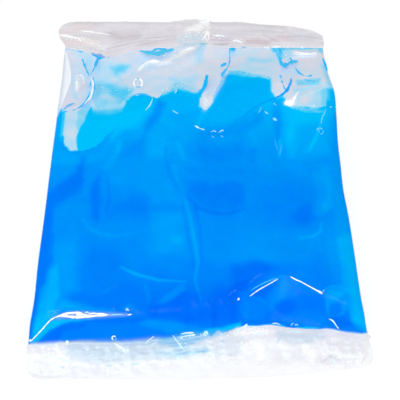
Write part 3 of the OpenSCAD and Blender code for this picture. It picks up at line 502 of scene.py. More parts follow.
# Thin lines pressed into the film: screen colour, then places and widths
RIBS = [
    ((120, 190, 228), [(164, 340.6, 0.6), (178, 339, 1.2), (198, 335, 1), (214, 331, 0.6)]),
    ((110, 186, 226), [(166, 343.6, 0.6), (180, 342.4, 1.3), (200, 338.6, 0.8)]),
    ((130, 196, 230), [(168, 346.6, 0.6), (182, 345.8, 1.2), (194, 343, 0.6)]),
    ((110, 190, 232), [(172, 350, 0.6), (180, 350, 1.6), (190, 347.4, 0.6)]),
    ((120, 196, 234), [(176, 354, 0.6), (183, 353.6, 1.6), (192, 351.6, 0.6)]),
    ((120, 190, 232), [(192, 352.8, 0.6), (199, 352, 1.4), (208, 350, 0.6)]),
    ((170, 208, 230), [(128, 344, 0.6), (146, 341.6, 1), (162, 341, 0.6)]),
    ((190, 206, 222), [(60, 342.6, 0.6), (80, 341, 1.6), (96, 340.4, 0.6)]),
    ((188, 204, 226), [(130, 356, 0.6), (140, 353.6, 1), (150, 352.6, 0.6)]),
    ((234, 234, 238), [(40, 372, 2), (52, 371, 2.4), (60, 372.6, 1)]),
    ((238, 238, 241), [(34, 376, 1.4), (48, 377, 2), (56, 376.6, 1)]),
    ((200, 204, 212), [(236, 341.6, 0.5), (246, 341, 0.8), (254, 338.6, 0.5)]),
    ((170, 190, 200), [(228, 356, 0.5), (231, 355, 1), (236, 355.6, 0.5)]),
    ((214, 216, 224), [(300, 350, 0.5), (322, 348, 0.8), (340, 352, 0.5)]),
    ((210, 206, 214), [(322, 362, 1), (330, 356, 1.6), (340, 361, 1)]),
    ((204, 196, 204), [(136, 46, 0.5), (150, 42.6, 0.8), (176, 37.6, 0.5)]),
    ((206, 202, 210), [(100, 51, 0.5), (118, 46, 0.8), (150, 40, 0.5)]),
    ((200, 192, 202), [(144, 38.6, 0.5), (160, 37, 0.8), (176, 35.6, 0.5)]),
    ((196, 196, 206), [(104, 32.4, 0.5), (108, 32.8, 1), (112, 33.4, 0.5)]),
    ((204, 202, 212), [(240, 31, 0.5), (262, 30.6, 0.8), (284, 33, 0.5)]),
    ((196, 190, 200), [(262, 34, 0.5), (270, 38, 0.8), (280, 42, 0.5)]),
    ((208, 204, 212), [(288, 37, 0.5), (302, 35.6, 0.8), (316, 38, 0.5)]),
    ((150, 150, 160), [(213, 44, 0.6), (220, 44.6, 1), (228, 44, 0.6)]),
    ((120, 200, 224), [(199, 43.6, 0.6), (204, 44, 2), (208, 43.6, 0.6)]),
]
# Painted highlights, white flecks where crumpled film sparkles: strength, softness in pixels, then places and widths
PAINTED_SPARKLES = [
    (0.9, 3, [(180, 40, 6), (190, 34, 8), (202, 30, 10), (206, 38, 6)]),
    (0.9, 2, [(204, 20, 4), (208, 28, 4)]),
    (0.8, 3, [(212, 36, 6), (226, 37, 5)]),
    (0.9, 2, [(232, 40, 4), (242, 42, 5)]),
    (0.7, 3, [(66, 38, 5), (80, 40, 6), (92, 42, 8), (104, 48, 5)]),
    (0.8, 3, [(190, 47, 4), (200, 52, 8), (202, 60, 5)]),
    (0.9, 3, [(222, 336, 4), (244, 331, 8), (262, 330, 8)]),
    (0.9, 3, [(244, 346, 6), (258, 344, 8), (266, 340, 5)]),
    (0.7, 3, [(180, 336, 6), (206, 334, 5)]),
    (0.7, 4, [(306, 352, 8), (314, 360, 6)]),
    (0.6, 3, [(60, 352, 4), (66, 358, 5)]),
    (0.8, 1.5, [(272, 47, 2), (284, 47, 2), (304, 47, 3)]),
]
# Rims of the trapped bubbles, drawn as painted highlights: place and radius in the picture, where an
# arc begins and ends in degrees, width, whiteness
BUBBLES = [
    (138, 82.8, 4.2, 120, 250, 1.3, 1.0), (138, 82.8, 4.2, -70, 50, 1.5, 1.0),
    (138, 82.8, 4.4, 55, 115, 0.8, 0.0), (138, 82.8, 4.2, 252, 288, 0.8, 0.0),
    (114, 338, 1.9, 100, 330, 1.1, 0.8), (114.6, 339, 1.4, -30, 80, 0.9, 0.3),
    (293, 325, 1.5, 150, 300, 0.8, 0.4), (296.4, 325.6, 1.3, 170, 360, 0.8, 0.5),
    (319.8, 131, 3, 190, 330, 1.0, 0.3), (320.2, 131, 3.2, -10, 90, 0.9, 0.2),
    (320, 131, 1.2, 100, 260, 0.7, 0.2), (127.6, 309.6, 1.5, 140, 300, 0.8, 0.7),
]


def mix(a, b, t):
    return a + (b - a) * t


def clamp01(t):
    return np.clip(t, 0.0, 1.0)


def ease(t):
    """Soft step from 0 to 1: q q (3 - 2 q), with q the share t held between 0 and 1."""
    q = clamp01(t)
    return q * q * (3 - 2 * q)


def bell(x, centre, width):
    """Bell of height 1 about the centre: e to the minus square of the distance in widths."""
    return np.exp(-(((x - centre) / width) ** 2))


def rise(d, run, n):
    """Climbs from 0 at d = 0 to 1 past d = run: q over the n-th root of 1 + q to the n."""
    q = np.maximum(0.0, d) / run
    return q / (1 + q**n) ** (1 / n)


def value_noise(x, y, seed):
    """Smooth noise from 0 to 1: seeded random heights on a unit lattice, eased between the
    four around each point."""
    lattice = np.random.default_rng(seed).random((64, 64))
    xi, yi = np.floor(x).astype(int), np.floor(y).astype(int)
    fx, fy = ease(x - xi), ease(y - yi)
    h = lattice[xi % 64, yi % 64], lattice[(xi + 1) % 64, yi % 64]
    k = lattice[xi % 64, (yi + 1) % 64], lattice[(xi + 1) % 64, (yi + 1) % 64]
    return mix(mix(h[0], h[1], fx), mix(k[0], k[1], fx), fy)


def ridges(x, y, seed):
    """Sharp-crested noise from 0 to 1: one less twice the distance of the noise from a half."""
    return 1 - np.abs(2 * value_noise(x, y, seed) - 1)


def path_distance(path, x, y):
    """Least distance from each place to a line of points, and the width there, which goes
    evenly from point to point."""
    best, width = np.full(np.shape(x), np.inf), np.zeros(np.shape(x))
    for (x1, y1, w1), (x2, y2, w2) in zip(path[:-1], path[1:]):
        dx, dy = x2 - x1, y2 - y1
        t = clamp01(((x - x1) * dx + (y - y1) * dy) / (dx * dx + dy * dy))
        d = np.hypot(x - x1 - t * dx, y - y1 - t * dy)
        width = np.where(d < best, mix(w1, w2, t), width)
        best = np.minimum(d, best)
    return best, width


def outline_distance(outline, x, y):
    """Distance from each place to a closed outline, less than 0 inside it: a place is
    inside if a level line from it crosses an odd number of the outline's sides."""
    best, inside = np.full(np.shape(x), np.inf), np.zeros(np.shape(x), bool)
    for (x1, y1), (x2, y2) in zip(outline, outline[1:] + outline[:1]):
        dx, dy = x2 - x1, y2 - y1
        t = clamp01(((x - x1) * dx + (y - y1) * dy) / (dx * dx + dy * dy))
        best = np.minimum(best, np.hypot(x - x1 - t * dx, y - y1 - t * dy))
        if dy:
            inside ^= ((y1 > y) != (y2 > y)) & (x < x1 + dx * (y - y1) / dy)
    return np.where(inside, -best, best)


def eye_axes():
    """The camera's right, up and back directions, from its elevation."""
    back = np.array([0, -math.cos(EYE_ELEVATION), math.sin(EYE_ELEVATION)])
    right = np.array([1.0, 0, 0])
    return right, np.cross(back, right), back


def to_picture(points):
    """Places in the picture of points in millimetres: focal length times the offsets to
    the right and up, over the distance ahead of the camera."""
    right, up, back = eye_axes()
    q = points - EYE
    ahead = -(q @ back)
    return PICTURE / 2 + FOCAL_PX * (q @ right) / ahead, PICTURE / 2 - FOCAL_PX * (q @ up) / ahead


class PackForm:
    """The pack's form in millimetres, on arrays of u, the place across from -1 to 1, and
    v, the row: -1 at the near loose edge, 0 and 1 at the weld lines, 2 at the far edge."""

    side_draw, film_t, weld_l, weld_ribs, rib_h = 3.5, 0.2, 10.0, 4, 0.3
    near_skirt, far_skirt, corner_r, near_gather, end_shift = 7.0, 10.5, 6.0, 2.0, 1.8
    near_seal_z, far_seal_z, near_run, tent_run, far_run = 4.0, 3.0, 6.5, 13.0, 14.0
    pocket_l, pocket_skew, pocket_slope, wet_t = 42.0, 14.0, 0.3, 0.8
    fin_w, groove_d, fin_wander, skirt_wave, edge_z = 9.0, 0.15, 15.0, 1.6, 0.3
    weld_draw, near_lift, far_lift = 0.75, 7.0, 13.0

    def __init__(self, sizes):
        self.half_w = sizes.tube_width / MM / 2
        self.pack_l = sizes.pack_length / MM
        self.near_t = sizes.near_height / MM
        self.far_t = sizes.far_height / MM
        self.dome_h = sizes.dome_height / MM
        self.fold_gain = sizes.fold_gain
        self.crinkle = sizes.crinkle_height / MM
        self.near_flange = self.near_skirt + self.weld_l
        self.far_flange = self.far_skirt + self.weld_l
        self.near_seal_y = self.near_flange - self.pack_l / 2
        self.far_seal_y = self.pack_l / 2 - self.far_flange
        self.body_mid = (self.near_seal_y + self.far_seal_y) / 2
        near_full = self.corner_r / self.near_flange - 1
        far_full = 2 - self.corner_r / self.far_flange
        self.mid_x = 0.0
        right = self.row_half(near_full) + self.row_shift(near_full)
        left = self.row_half(far_full) - self.row_shift(far_full)
        self.mid_x = float(right - left) / 2
        self.crease_paths = None

    def near_line(self, u):
        """Near weld line: a slant, the sum of the bells of its wander, and fine noise that is
        strongest near the middle."""
        wander = sum(height * bell(u, centre, width) for height, centre, width in NEAR_WANDER)
        ragged = value_noise(u * 26 + 30, np.zeros(np.shape(u)), 61) - 0.5
        wander = wander + (0.5 + 1.5 * bell(u, 0.02, 0.2)) * ragged
        return self.near_seal_y - 2.1 + 1.5 * u + wander

    def far_line(self, u):
        """Far weld line: straight, with a bell-shaped gather on the left."""
        return self.far_seal_y - 7.5 * bell(u, -0.64, 0.17) + 3.2 * bell(u, 0, 0.1)

    def near_edge(self, u):
        return -self.pack_l / 2 + 5.5 * clamp01(u) ** 1.5

    def far_edge(self, u):
        """Far loose edge: falls off to the right and at both corners, and stands up where the
        film is gathered."""
        fall = 6.5 * clamp01((u + 0.1) / 1.1) ** 2 + 1.5 * clamp01((u - 0.85) / 0.15) ** 2
        fall = fall + 3 * clamp01((-u - 0.82) / 0.18) ** 2
        stand = 2.4 * bell(u, 0.04, 0.1) + 1.3 * bell(u, -0.62, 0.18) + 1.5 * bell(u, 0.3, 0.25)
        return self.pack_l / 2 - fall + stand

    def row_y(self, u, v):
        """Place along the pack: even steps between the two lines on each side of the row."""
        near, far = self.near_line(u), self.far_line(u)
        body = mix(near, far, v)
        skirt = np.where(v < 0, mix(near, self.near_edge(u), -v), mix(far, self.far_edge(u), v - 1))
        return np.where((v < 0) | (v > 1), skirt, body)

    def row_of(self, u, y):
        """The row that holds a place along the pack, the other way round from row_y."""
        near, far = self.near_line(u), self.far_line(u)
        v = (y - near) / (far - near)
        v = np.where(y < near, -(near - y) / (near - self.near_edge(u)), v)
        return np.where(y > far, 1 + (y - far) / (self.far_edge(u) - far), v)

    def gap(self, u):
        return self.far_line(u) - self.near_line(u)

    def past_weld(self, v):
        return np.where(v < 0.5, -v, v - 1)

    def from_edge(self, v):
        return (1 - self.past_weld(v)) * np.where(v < 0.5, self.near_flange, self.far_flange)

    def in_flange(self, v):
        return (v <= 0) | (v >= 1)

    def row_half(self, v):
        """Half width of a row: that of the flat tube, less the body's draw, the gathers
        and a quarter circle at the skirts' corners."""
        v = np.asarray(v, float)
        q = np.where(self.in_flange(v), clamp01(1 - self.from_edge(v) / self.corner_r), 0)
        cut = self.corner_r * (1 - np.sqrt(1 - q * q))
        body = self.side_draw * mix(self.weld_draw, 1, ease(np.minimum(v, 1 - v) * 6))
        near = mix(self.weld_draw * self.side_draw, self.near_gather, -v)
        far = mix(self.weld_draw * self.side_draw, 0, v - 1)
        return self.half_w - np.where(v < 0, near, np.where(v > 1, far, body)) - cut

    def row_shift(self, v):
        """Sideways place of a row, which leans evenly from one end to the other."""
        return mix(self.end_shift + self.near_gather, -self.end_shift, (np.asarray(v) + 1) / 3) - self.mid_x

    def spread_x(self, across, v):
        """How far the sides bulge past an even draw, as sums of bells along the pack, each
        of which grows with the cube of the way out."""
        right = 1.8 * bell(v, 0.79, 0.065) + 1.4 * bell(v, 0.7, 0.09) - 0.6 * bell(v, 0.97, 0.05)
        right = right - 0.6 * bell(v, 0.42, 0.07) - 0.7 * bell(v, 0.05, 0.07)
        right = right + 1.5 * bell(v, -0.05, 0.08) + 0.5 * bell(v, -0.4, 0.3)
        left = 1.9 * ease((v - 1.0) * 2.5) - 0.9 * bell(v, 0.08, 0.08) - 0.25 * bell(v, 0.33, 0.15)
        return right * clamp01(across) ** 3 - left * clamp01(-across) ** 3

    def rib_z(self, u, v):
        """Ribs of the weld bands: a triangle wave across each band, lower toward the sides
        at the near end."""
        d = self.from_edge(v) - np.where(v < 0.5, self.near_skirt, self.far_skirt)
        wave = np.abs((d / self.weld_l * self.weld_ribs + 0.5) % 1 - 0.5) * 2
        height = self.rib_h * np.where(v < 0.5, 0.25 + 0.75 * bell(u, 0, 0.25), 1)
        return np.where((d <= 0) | (d >= self.weld_l), 0, height * wave)

    def skirt_z(self, u, v):
        """Height of a flange: eased down from its weld line to its loose edge, with two
        sine waves along it that grow with the square of the way out."""
        q, turn = clamp01(self.past_weld(v)), np.where(v < 0.5, 0, 130)
        fall = mix(np.where(v < 0.5, self.near_seal_z, self.far_seal_z), self.edge_z, ease(q))
        slow = 0.6 * np.sin(np.radians(430 * u + 40 + turn))
        fast = 0.4 * np.sin(np.radians(910 * u + turn))
        return fall + self.skirt_wave * q * q * (1 + slow + fast) / 2

    def under_z(self, u, v):
        """Height of the underside: flat on the surface, and lifted in parabolas to both
        weld lines."""
        from_near, from_far = v * self.gap(u), (1 - v) * self.gap(u)
        body = self.near_seal_z * (1 - clamp01(from_near / self.near_lift)) ** 2
        body = body + self.far_seal_z * (1 - clamp01(from_far / self.far_lift)) ** 2
        return np.where(self.in_flange(v), self.skirt_z(u, v) + self.rib_z(u, v), body)

    def shoulder_t(self, u, v):
        """Thickness at the shoulders: the two films, and a rise from each weld line."""
        from_near, from_far = v * self.gap(u), (1 - v) * self.gap(u)
        near = rise(from_near, self.near_run + self.tent_run * bell(u, 0.5, 0.2), 5)
        full = mix(self.near_t, self.far_t, ease(v)) - 2 * self.film_t
        body = 2 * self.film_t + full * near * rise(from_far, self.far_run, 3)
        return np.where(self.in_flange(v), 2 * self.film_t, body)

    def fold_z(self, x, y):
        """Sum of the folds: height times a bell of the distance from each fold's line."""
        total = np.zeros(np.shape(x))
        half_l = (self.far_seal_y - self.near_seal_y) / 2
        for x1, y1, x2, y2, height, width in FOLDS:
            line = [(x1 * self.half_w, y1 * half_l, 0), (x2 * self.half_w, y2 * half_l, 0)]
            total = total + height * bell(path_distance(line, x, y - self.body_mid)[0], 0, width)
        return total

    def gather_z(self, gathers, u, d):
        """Sum of the gathers: a bell across each one, eased in at the weld and out again."""
        total = np.zeros(np.shape(u))
        for place, length, height, width in gathers:
            run = ease(d / 4) * (1 - ease(2 * d / length - 1))
            total = total + height * bell(u * self.half_w, place * self.half_w, width) * run
        return total

    def relief_z(self, u, v):
        """Relief of the upper film over its shoulders: dome, folds and gathers, all of
        which end softly at the sides and at the weld lines."""
        from_near, from_far = v * self.gap(u), (1 - v) * self.gap(u)
        soft = (1 - np.abs(clamp01(np.abs(u))) ** 6) * rise(np.minimum(from_near, from_far), 12, 3)
        folds = self.fold_z(u * self.half_w, self.row_y(u, v))
        folds = folds + self.gather_z(NEAR_GATHERS, u, from_near)
        folds = folds + self.gather_z(FAR_GATHERS, u, from_far)
        return np.where(self.in_flange(v), 0, soft * (self.dome_h * (1 - u * u) + self.fold_gain * folds))

    def crinkle_z(self, u, v):
        """Fine crinkles of both flanges, the same on both films: sharp noise at two sizes,
        stronger on the skirts, and near the middle of the far end."""
        x, y = u * self.half_w, self.row_y(u, v)
        q = clamp01(self.past_weld(v))
        size = np.where(v < 0.5, mix(0.45, 1.0, q), mix(0.25, 0.35, q) + 0.6 * bell(u, 0.03, 0.14))
        fine = ridges(x / 4.2 + 9, y / 3.4 + 9, 3) - 0.5 + 0.5 * (ridges(x / 1.9, y / 1.9, 4) - 0.5)
        ends = ease(self.past_weld(v) * 4 + 0.4)
        return np.where(self.in_flange(v), self.crinkle * size * fine * ends, 0)

    def wrinkle_z(self, u, v):
        """Fine wrinkles of the upper film: soft dents all over, long sharp ones that fan
        out of the weld lines, and the creases, each a ridge along its own line."""
        x, y = u * self.half_w, self.row_y(u, v)
        from_near, from_far = v * self.gap(u), (1 - v) * self.gap(u)
        z = 0.5 * (value_noise(x / 21 + 5, y / 25 + 5, 11) - 0.5)
        z = z + 0.7 * np.exp(-from_near / 9) * (ridges(x / 5 + 7, y / 22 + 7, 12) - 0.5)
        z = z + 0.8 * np.exp(-from_far / 14) * (ridges(x / 6 + 7, y / 26 + 7, 13) - 0.5)
        for height, width, path in self.crease_paths or []:
            d, ends = path_distance(path, x + self.row_shift(v), y)
            z = z + height * ends * np.exp(-((d / width) ** 2))
        soft = (1 - np.abs(clamp01(np.abs(u))) ** 8) * rise(np.minimum(from_near, from_far), 5, 3)
        return np.where(self.in_flange(v), 0, z * soft)

    def top_z(self, u, v):
        """Height of the upper film's outer face."""
        base = self.under_z(u, v) + self.shoulder_t(u, v) + self.relief_z(u, v)
        return base + self.crinkle_z(u, v) + self.wrinkle_z(u, v)

    def film_z(self, x, y):
        """Height of the upper film over places on the surface."""
        u = x / self.half_w
        for _ in range(3):
            u = np.clip((x - self.row_shift(self.row_of(u, y))) / self.half_w, -1, 1)
        return self.top_z(u, np.clip(self.row_of(u, y), -1, 2))

    def on_film(self, px, py, offset=0.0):
        """Points where the camera's rays through places in the picture meet the upper film,
        or a face at an offset above it: the height is guessed, and mended by halves."""
        right, up, back = eye_axes()
        px, py = np.asarray(px, float), np.asarray(py, float)
        ray = ((px - PICTURE / 2) / FOCAL_PX)[..., None] * right
        ray = ray - ((py - PICTURE / 2) / FOCAL_PX)[..., None] * up - back
        z = np.full(px.shape, 10.0)
        for _ in range(14):
            p = EYE + ray * ((z - EYE[2]) / ray[..., 2])[..., None]
            z = mix(z, self.film_z(p[..., 0], p[..., 1]) + offset, 0.7)
        return EYE + ray * ((z - EYE[2]) / ray[..., 2])[..., None]

    def lay_creases(self):
        """Carries the creases from the picture to the pack, with their ends at half height."""
        paths = []
        for height, width, places in CREASES:
            p = self.on_film([x for x, y in places], [y for x, y in places])
            ends = [0.2] + [1.0] * (len(places) - 2) + [0.2]
            paths.append((height, width, [(*map(float, q[:2]), e) for q, e in zip(p, ends)]))
        self.crease_paths = paths

    def fin_x(self, v):
        return 1 - self.fin_wander * bell(v, 0.63, 0.27)

    def skin(self, columns, rows, inset, sunk=False):
        """Points of a closed skin, a ring for each row: over the top, round a half circle
        on the right, back underneath and round the left. The half circles' radius is half
        the thickness at the shoulders. A sunk skin keeps below the gel's own surface."""
        top_n, back_n, arc_n = columns
        arc = np.linspace(0, math.pi, arc_n + 2)[1:-1]
        across = np.concatenate([np.linspace(-1, 1, top_n + 1), np.ones(arc_n),
                                 np.linspace(1, -1, back_n + 1), -np.ones(arc_n)])[None, :]
        angle = np.concatenate([np.zeros(top_n + 1), arc, np.full(back_n + 1, math.pi), arc[::-1]])[None, :]
        v = np.asarray(rows)[:, None]
        r = mix(self.shoulder_t(-1.0, v), self.shoulder_t(1.0, v), (across + 1) / 2) / 2
        x = across * (self.row_half(v) - r)
        u = (x + across * r * np.sin(angle)) / self.half_w
        spread = self.spread_x(across, v)
        under = self.under_z(u, v) + self.crinkle_z(u, v)
        groove = bell(x, self.fin_x(v) - self.fin_w / 2, 0.6) + bell(x, self.fin_x(v) + self.fin_w / 2, 0.6)
        top, bottom = angle < 0.01, angle > math.pi - 0.01
        low = under + inset + (self.groove_d * groove if inset == 0 else 0)
        upper = self.top_z(u, v) - inset
        reach = r - inset
        if sunk:
            level = self.pocket_slope * (self.pocket_l - self.pocket_skew * u - (1 - v) * self.gap(u))
            gel_t = np.maximum(self.wet_t + 2 * self.film_t, self.far_t + self.dome_h - level)
            upper = np.minimum(upper, under + inset + gel_t)
            sunk_r = np.minimum(reach, gel_t / 2)
        else:
            sunk_r = reach
        side_z = under + inset + sunk_r + sunk_r * np.cos(angle)
        z = np.where(top, upper, np.where(bottom, low, side_z))
        px = x + across * (r - inset) * np.sin(angle) - across * (reach - sunk_r) * np.sin(angle)
        return np.stack([px + spread + self.row_shift(v), self.row_y(u, v), z], -1), angle


def stitch(upper, lower, x):
    """Triangles between two open chains of points, advanced along each in the order of x."""
    mid_u = np.maximum.accumulate((x[upper[1:]] + x[upper[:-1]]) / 2)
    mid_l = np.maximum.accumulate((x[lower[1:]] + x[lower[:-1]]) / 2)
    step = np.argsort(np.concatenate([mid_u, mid_l]), kind="stable")
    on_upper = step < len(mid_u)
    i = np.cumsum(on_upper) - on_upper
    j = np.cumsum(~on_upper) - ~on_upper
    third = np.where(on_upper, upper[np.minimum(i + 1, len(upper) - 1)], lower[np.minimum(j + 1, len(lower) - 1)])
    return np.stack([upper[i], lower[j], third], -1)


def skin_faces(points, columns):
    """Faces of a closed skin: squares between the rings, and a stitched cap at each end."""
    top_n, back_n, arc_n = columns
    rows, n = points.shape[:2]
    at = np.arange(rows * n).reshape(rows, n)
    nxt = np.roll(at, -1, axis=1)
    quads = np.stack([at[:-1], nxt[:-1], nxt[1:], at[1:]], -1).reshape(-1, 4)
    upper = np.arange(top_n + 1)
    lower = np.arange(n - 1, top_n, -1)
    near = stitch(at[0][upper], at[0][lower], points.reshape(-1, 3)[:, 0])
    far = stitch(at[-1][upper], at[-1][lower], points.reshape(-1, 3)[:, 0])[:, ::-1]
    return quads, np.concatenate([near, far])


def add_mesh(name, points, quads, triangles=None, **attributes):
    """New object at the origin with smooth faces, from points in millimetres. Attributes
    of one number a point are stored as floats, those of three as colours."""
    mesh = bpy.data.meshes.new(name)
    points = np.asarray(points, float).reshape(-1, 3)
    triangles = np.zeros((0, 3), int) if triangles is None else triangles
    loops = np.concatenate([quads.ravel(), triangles.ravel()]).astype(np.int32)
    sizes = np.concatenate([np.full(len(quads), 4), np.full(len(triangles), 3)])
    starts = (np.cumsum(sizes) - sizes).astype(np.int32)
    mesh.vertices.add(len(points))
    mesh.vertices.foreach_set("co", (points * MM).astype(np.float32).ravel())
    mesh.loops.add(len(loops))
    mesh.loops.foreach_set("vertex_index", loops)
    mesh.polygons.add(len(sizes))
    mesh.polygons.foreach_set("loop_start", starts)
    mesh.update(calc_edges=True)
    mesh.shade_smooth()
    for key, values in attributes.items():
        values = np.asarray(values, float)
        if values.ndim > 1 and values.shape[-1] == 3:
            values = np.concatenate([values.reshape(-1, 3), np.ones((len(points), 1))], 1)
            layer = mesh.attributes.new(key, "FLOAT_COLOR", "POINT")
            layer.data.foreach_set("color", values.astype(np.float32).ravel())
        else:
            layer = mesh.attributes.new(key, "FLOAT", "POINT")
            layer.data.foreach_set("value", values.astype(np.float32).ravel())
    if mesh.validate():
        raise RuntimeError(f"the mesh of {name} had faults")
    obj = bpy.data.objects.new(name, mesh)
    bpy.context.scene.collection.objects.link(obj)
    return obj


def smooth_path(places, step):
    """Places along a smooth line through given ones, about a step apart: each stretch is
    the cubic whose slope at a place is half the way between its two neighbours."""
    p = np.array(places, float)
    ends = np.concatenate([[2 * p[0] - p[1]], p, [2 * p[-1] - p[-2]]])
    found = []
    for k in range(len(p) - 1):
        a, b, c, d = ends[k : k + 4]
        n = max(2, int(np.hypot(*(c - b)[:2]) / step))
        t = (np.arange(n) / n)[:, None]
        found.append(b + 0.5 * t * (c - a + t * (2 * a - 5 * b + 4 * c - d + t * (3 * (b - c) + d - a))))
    return np.concatenate([*found, p[-1:]])


def lens_strip(form, places, height, offset, step=1.0, sides=8):
    """Slim closed lens along a line on the film: at each place a flat ring, about as wide in
    the picture as the place's third number, and as high as the height, with pinched ends."""
    line = smooth_path(places, step)
    line[:, 2] *= 0.6 + 0.8 * value_noise(line[:, 0] / 2.5, line[:, 1] / 2.5, 51)
    way = np.gradient(line[:, :2], axis=0)
    way = way / np.maximum(1e-6, np.hypot(way[:, 0], way[:, 1]))[:, None]
    turn = np.arange(sides) * 2 * math.pi / sides
    width = np.maximum(0.15, line[:, 2]) / 2
    width[[0, -1]] = 0.05
    px = line[:, 0:1] + way[:, 1:2] * width[:, None] * np.cos(turn)
    py = line[:, 1:2] - way[:, 0:1] * width[:, None] * np.cos(turn)
    points = form.on_film(px, py, offset)
    tall = np.minimum(height, 0.3 * width)[:, None]
    points[..., 2] += tall * np.sin(turn)
    return points


def strip_faces(points):
    """Faces of a tube of rings, with a fan at each end."""
    rows, n = points.shape[:2]
    at = np.arange(rows * n).reshape(rows, n)
    nxt = np.roll(at, -1, axis=1)
    quads = np.stack([at[:-1], nxt[:-1], nxt[1:], at[1:]], -1).reshape(-1, 4)
    fan = np.stack([np.zeros(n - 2, int), np.arange(2, n), np.arange(1, n - 1)], -1)
    return quads, np.concatenate([at[0][fan], at[-1][fan[:, ::-1]]])


def join_strips(strips):
    """Points, squares and triangles of several strips as one set, and the number of
    points in each."""
    points, quads, triangles, counts, start = [], [], [], [], 0
    for strip in strips:
        q, t = strip_faces(strip)
        points.append(strip.reshape(-1, 3))
        quads.append(q + start)
        triangles.append(t + start)
        counts.append(strip.shape[0] * strip.shape[1])
        start += counts[-1]
    return np.concatenate(points), np.concatenate(quads), np.concatenate(triangles), counts


class Value:
    """A shader socket that carries one number. Sums with it add Math nodes."""

    def __init__(self, paint, socket):
        self.paint, self.socket = paint, socket

    def calc(self, operation, a, b):
        return self.paint.node("ShaderNodeMath", {"operation": operation}, {0: a, 1: b})

    def __add__(self, other):
        return self.calc("ADD", self, other)

    def __radd__(self, other):
        return self.calc("ADD", other, self)

    def __sub__(self, other):
        return self.calc("SUBTRACT", self, other)

    def __rsub__(self, other):
        return self.calc("SUBTRACT", other, self)

    def __mul__(self, other):
        return self.calc("MULTIPLY", self, other)

    def __rmul__(self, other):
        return self.calc("MULTIPLY", other, self)

    def held(self, low=0.0, high=1.0):
        """This value, held between two others."""
        return self.calc("MINIMUM", self.calc("MAXIMUM", self, low), high)


class Paint:
    """A material and its nodes."""

    def __init__(self, name):
        self.material = bpy.data.materials.new(name)
        self.material.use_nodes = True
        self.tree = self.material.node_tree
        self.tree.nodes.clear()

    def node(self, kind, settings, sockets, output=0):
        """Adds a node: its settings first, then the values or links of its sockets, which
        are named by number, name or identifier. Returns one of its outputs."""
        made = self.tree.nodes.new(kind)
        for key, value in settings.items():
            if key == "stops":
                self.set_stops(made.color_ramp, value)
            else:
                setattr(made, key, value)
        for key, value in sockets.items():
            by_name = [s for s in made.inputs if key in (s.identifier, s.name)]
            socket = made.inputs[key] if isinstance(key, int) else by_name[0]
            if isinstance(value, Value):
                self.tree.links.new(value.socket, socket)
            else:
                socket.default_value = value
        by_name = [s for s in made.outputs if output in (s.identifier, s.name)]
        return Value(self, made.outputs[output] if isinstance(output, int) else by_name[0])

    @staticmethod
    def set_stops(ramp, stops):
        """Gives a colour ramp its stops, each a place from 0 to 1 and a colour."""
        while len(ramp.elements) > 1:
            ramp.elements.remove(ramp.elements[-1])
        for k, (place, colour) in enumerate(stops):
            stop = ramp.elements[0] if k == 0 else ramp.elements.new(place)
            stop.position, stop.color = place, (*colour, 1)

    def noise(self, scale, detail=2.0, stretch=(1, 1, 1)):
        """Noise on the object's own coordinates, with a scale for each metre."""
        at = self.node("ShaderNodeTexCoord", {}, {}, "Object")
        at = self.node("ShaderNodeMapping", {}, {"Vector": at, "Scale": stretch})
        return self.node("ShaderNodeTexNoise", {}, {"Vector": at, "Scale": scale, "Detail": detail}, "Fac")

    def attribute(self, name, output="Fac"):
        return self.node("ShaderNodeAttribute", {"attribute_name": name}, {}, output)

    def blend(self, factor, a, b, kind="MIX"):
        """Mix of two colours."""
        return self.node(
            "ShaderNodeMix", {"data_type": "RGBA", "blend_type": kind},
            {"Factor_Float": factor, "A_Color": a, "B_Color": b}, "Result_Color",
        )

    def finish(self, shader):
        out = self.tree.nodes.new("ShaderNodeOutputMaterial")
        self.tree.links.new(shader.socket, out.inputs["Surface"])
        return self.material


def linear(colour):
    """Linear values of a screen colour given from 0 to 255."""
    c = np.asarray(colour, float) / 255
    return tuple(float(x) for x in np.where(c <= 0.04045, c / 12.92, ((c + 0.055) / 1.055) ** 2.4))


def over_white(colour, cover):
    """Tone of film of a given cover that gives a screen colour over the white floor: what
    the colour holds beyond the floor's share, over the cover and the light on the film."""
    return clamp01((np.array(linear(colour)) - 1.01 * (1 - cover)) / cover / 1.08)


def gel_stops(look):
    """Stops of the gel's colour over the depth of the gel, as a share of 20 mm."""
    return [
        (0.0, look.dry_colour[:]),
        (0.05, linear((171, 214, 236))),
        (0.1, linear((120, 207, 237))),
        (0.175, linear((40, 200, 242))),
        (0.25, linear((0, 195, 243))),
        (0.4, look.shallow_colour[:]),
        (0.6, linear((0, 160, 243))),
        (0.8, linear((0, 120, 240))),
        (1.0, look.deep_colour[:]),
    ]


def gel_paint(look, name):
    """Gel: its colour deepens with the depth of gel that is looked through."""
    paint = Paint(name)
    clouds = paint.noise(55.0, 3.0) + 0.8 * paint.noise(160.0, 1.0) - 0.9
    drops = paint.attribute("grain") * (4.0 * paint.noise(1500.0, 1.0) - 2.0)
    depth = paint.attribute("gel_depth") + 1.6 * clouds + drops
    colour = paint.node("ShaderNodeValToRGB", {"stops": gel_stops(look)}, {"Fac": (depth * 0.05).held()})
    # Painted light: the gel glows in its own colour, standing in for light that comes through it from below
    shader = paint.node(
        "ShaderNodeBsdfPrincipled", {},
        {
            "Base Color": colour,
            "Roughness": 0.35 + 0.1 * paint.noise(300.0),
            "Specular IOR Level": 0.0,
            "Emission Color": colour,
            "Emission Strength": look.glow,
        },
    )
    return paint.finish(shader)


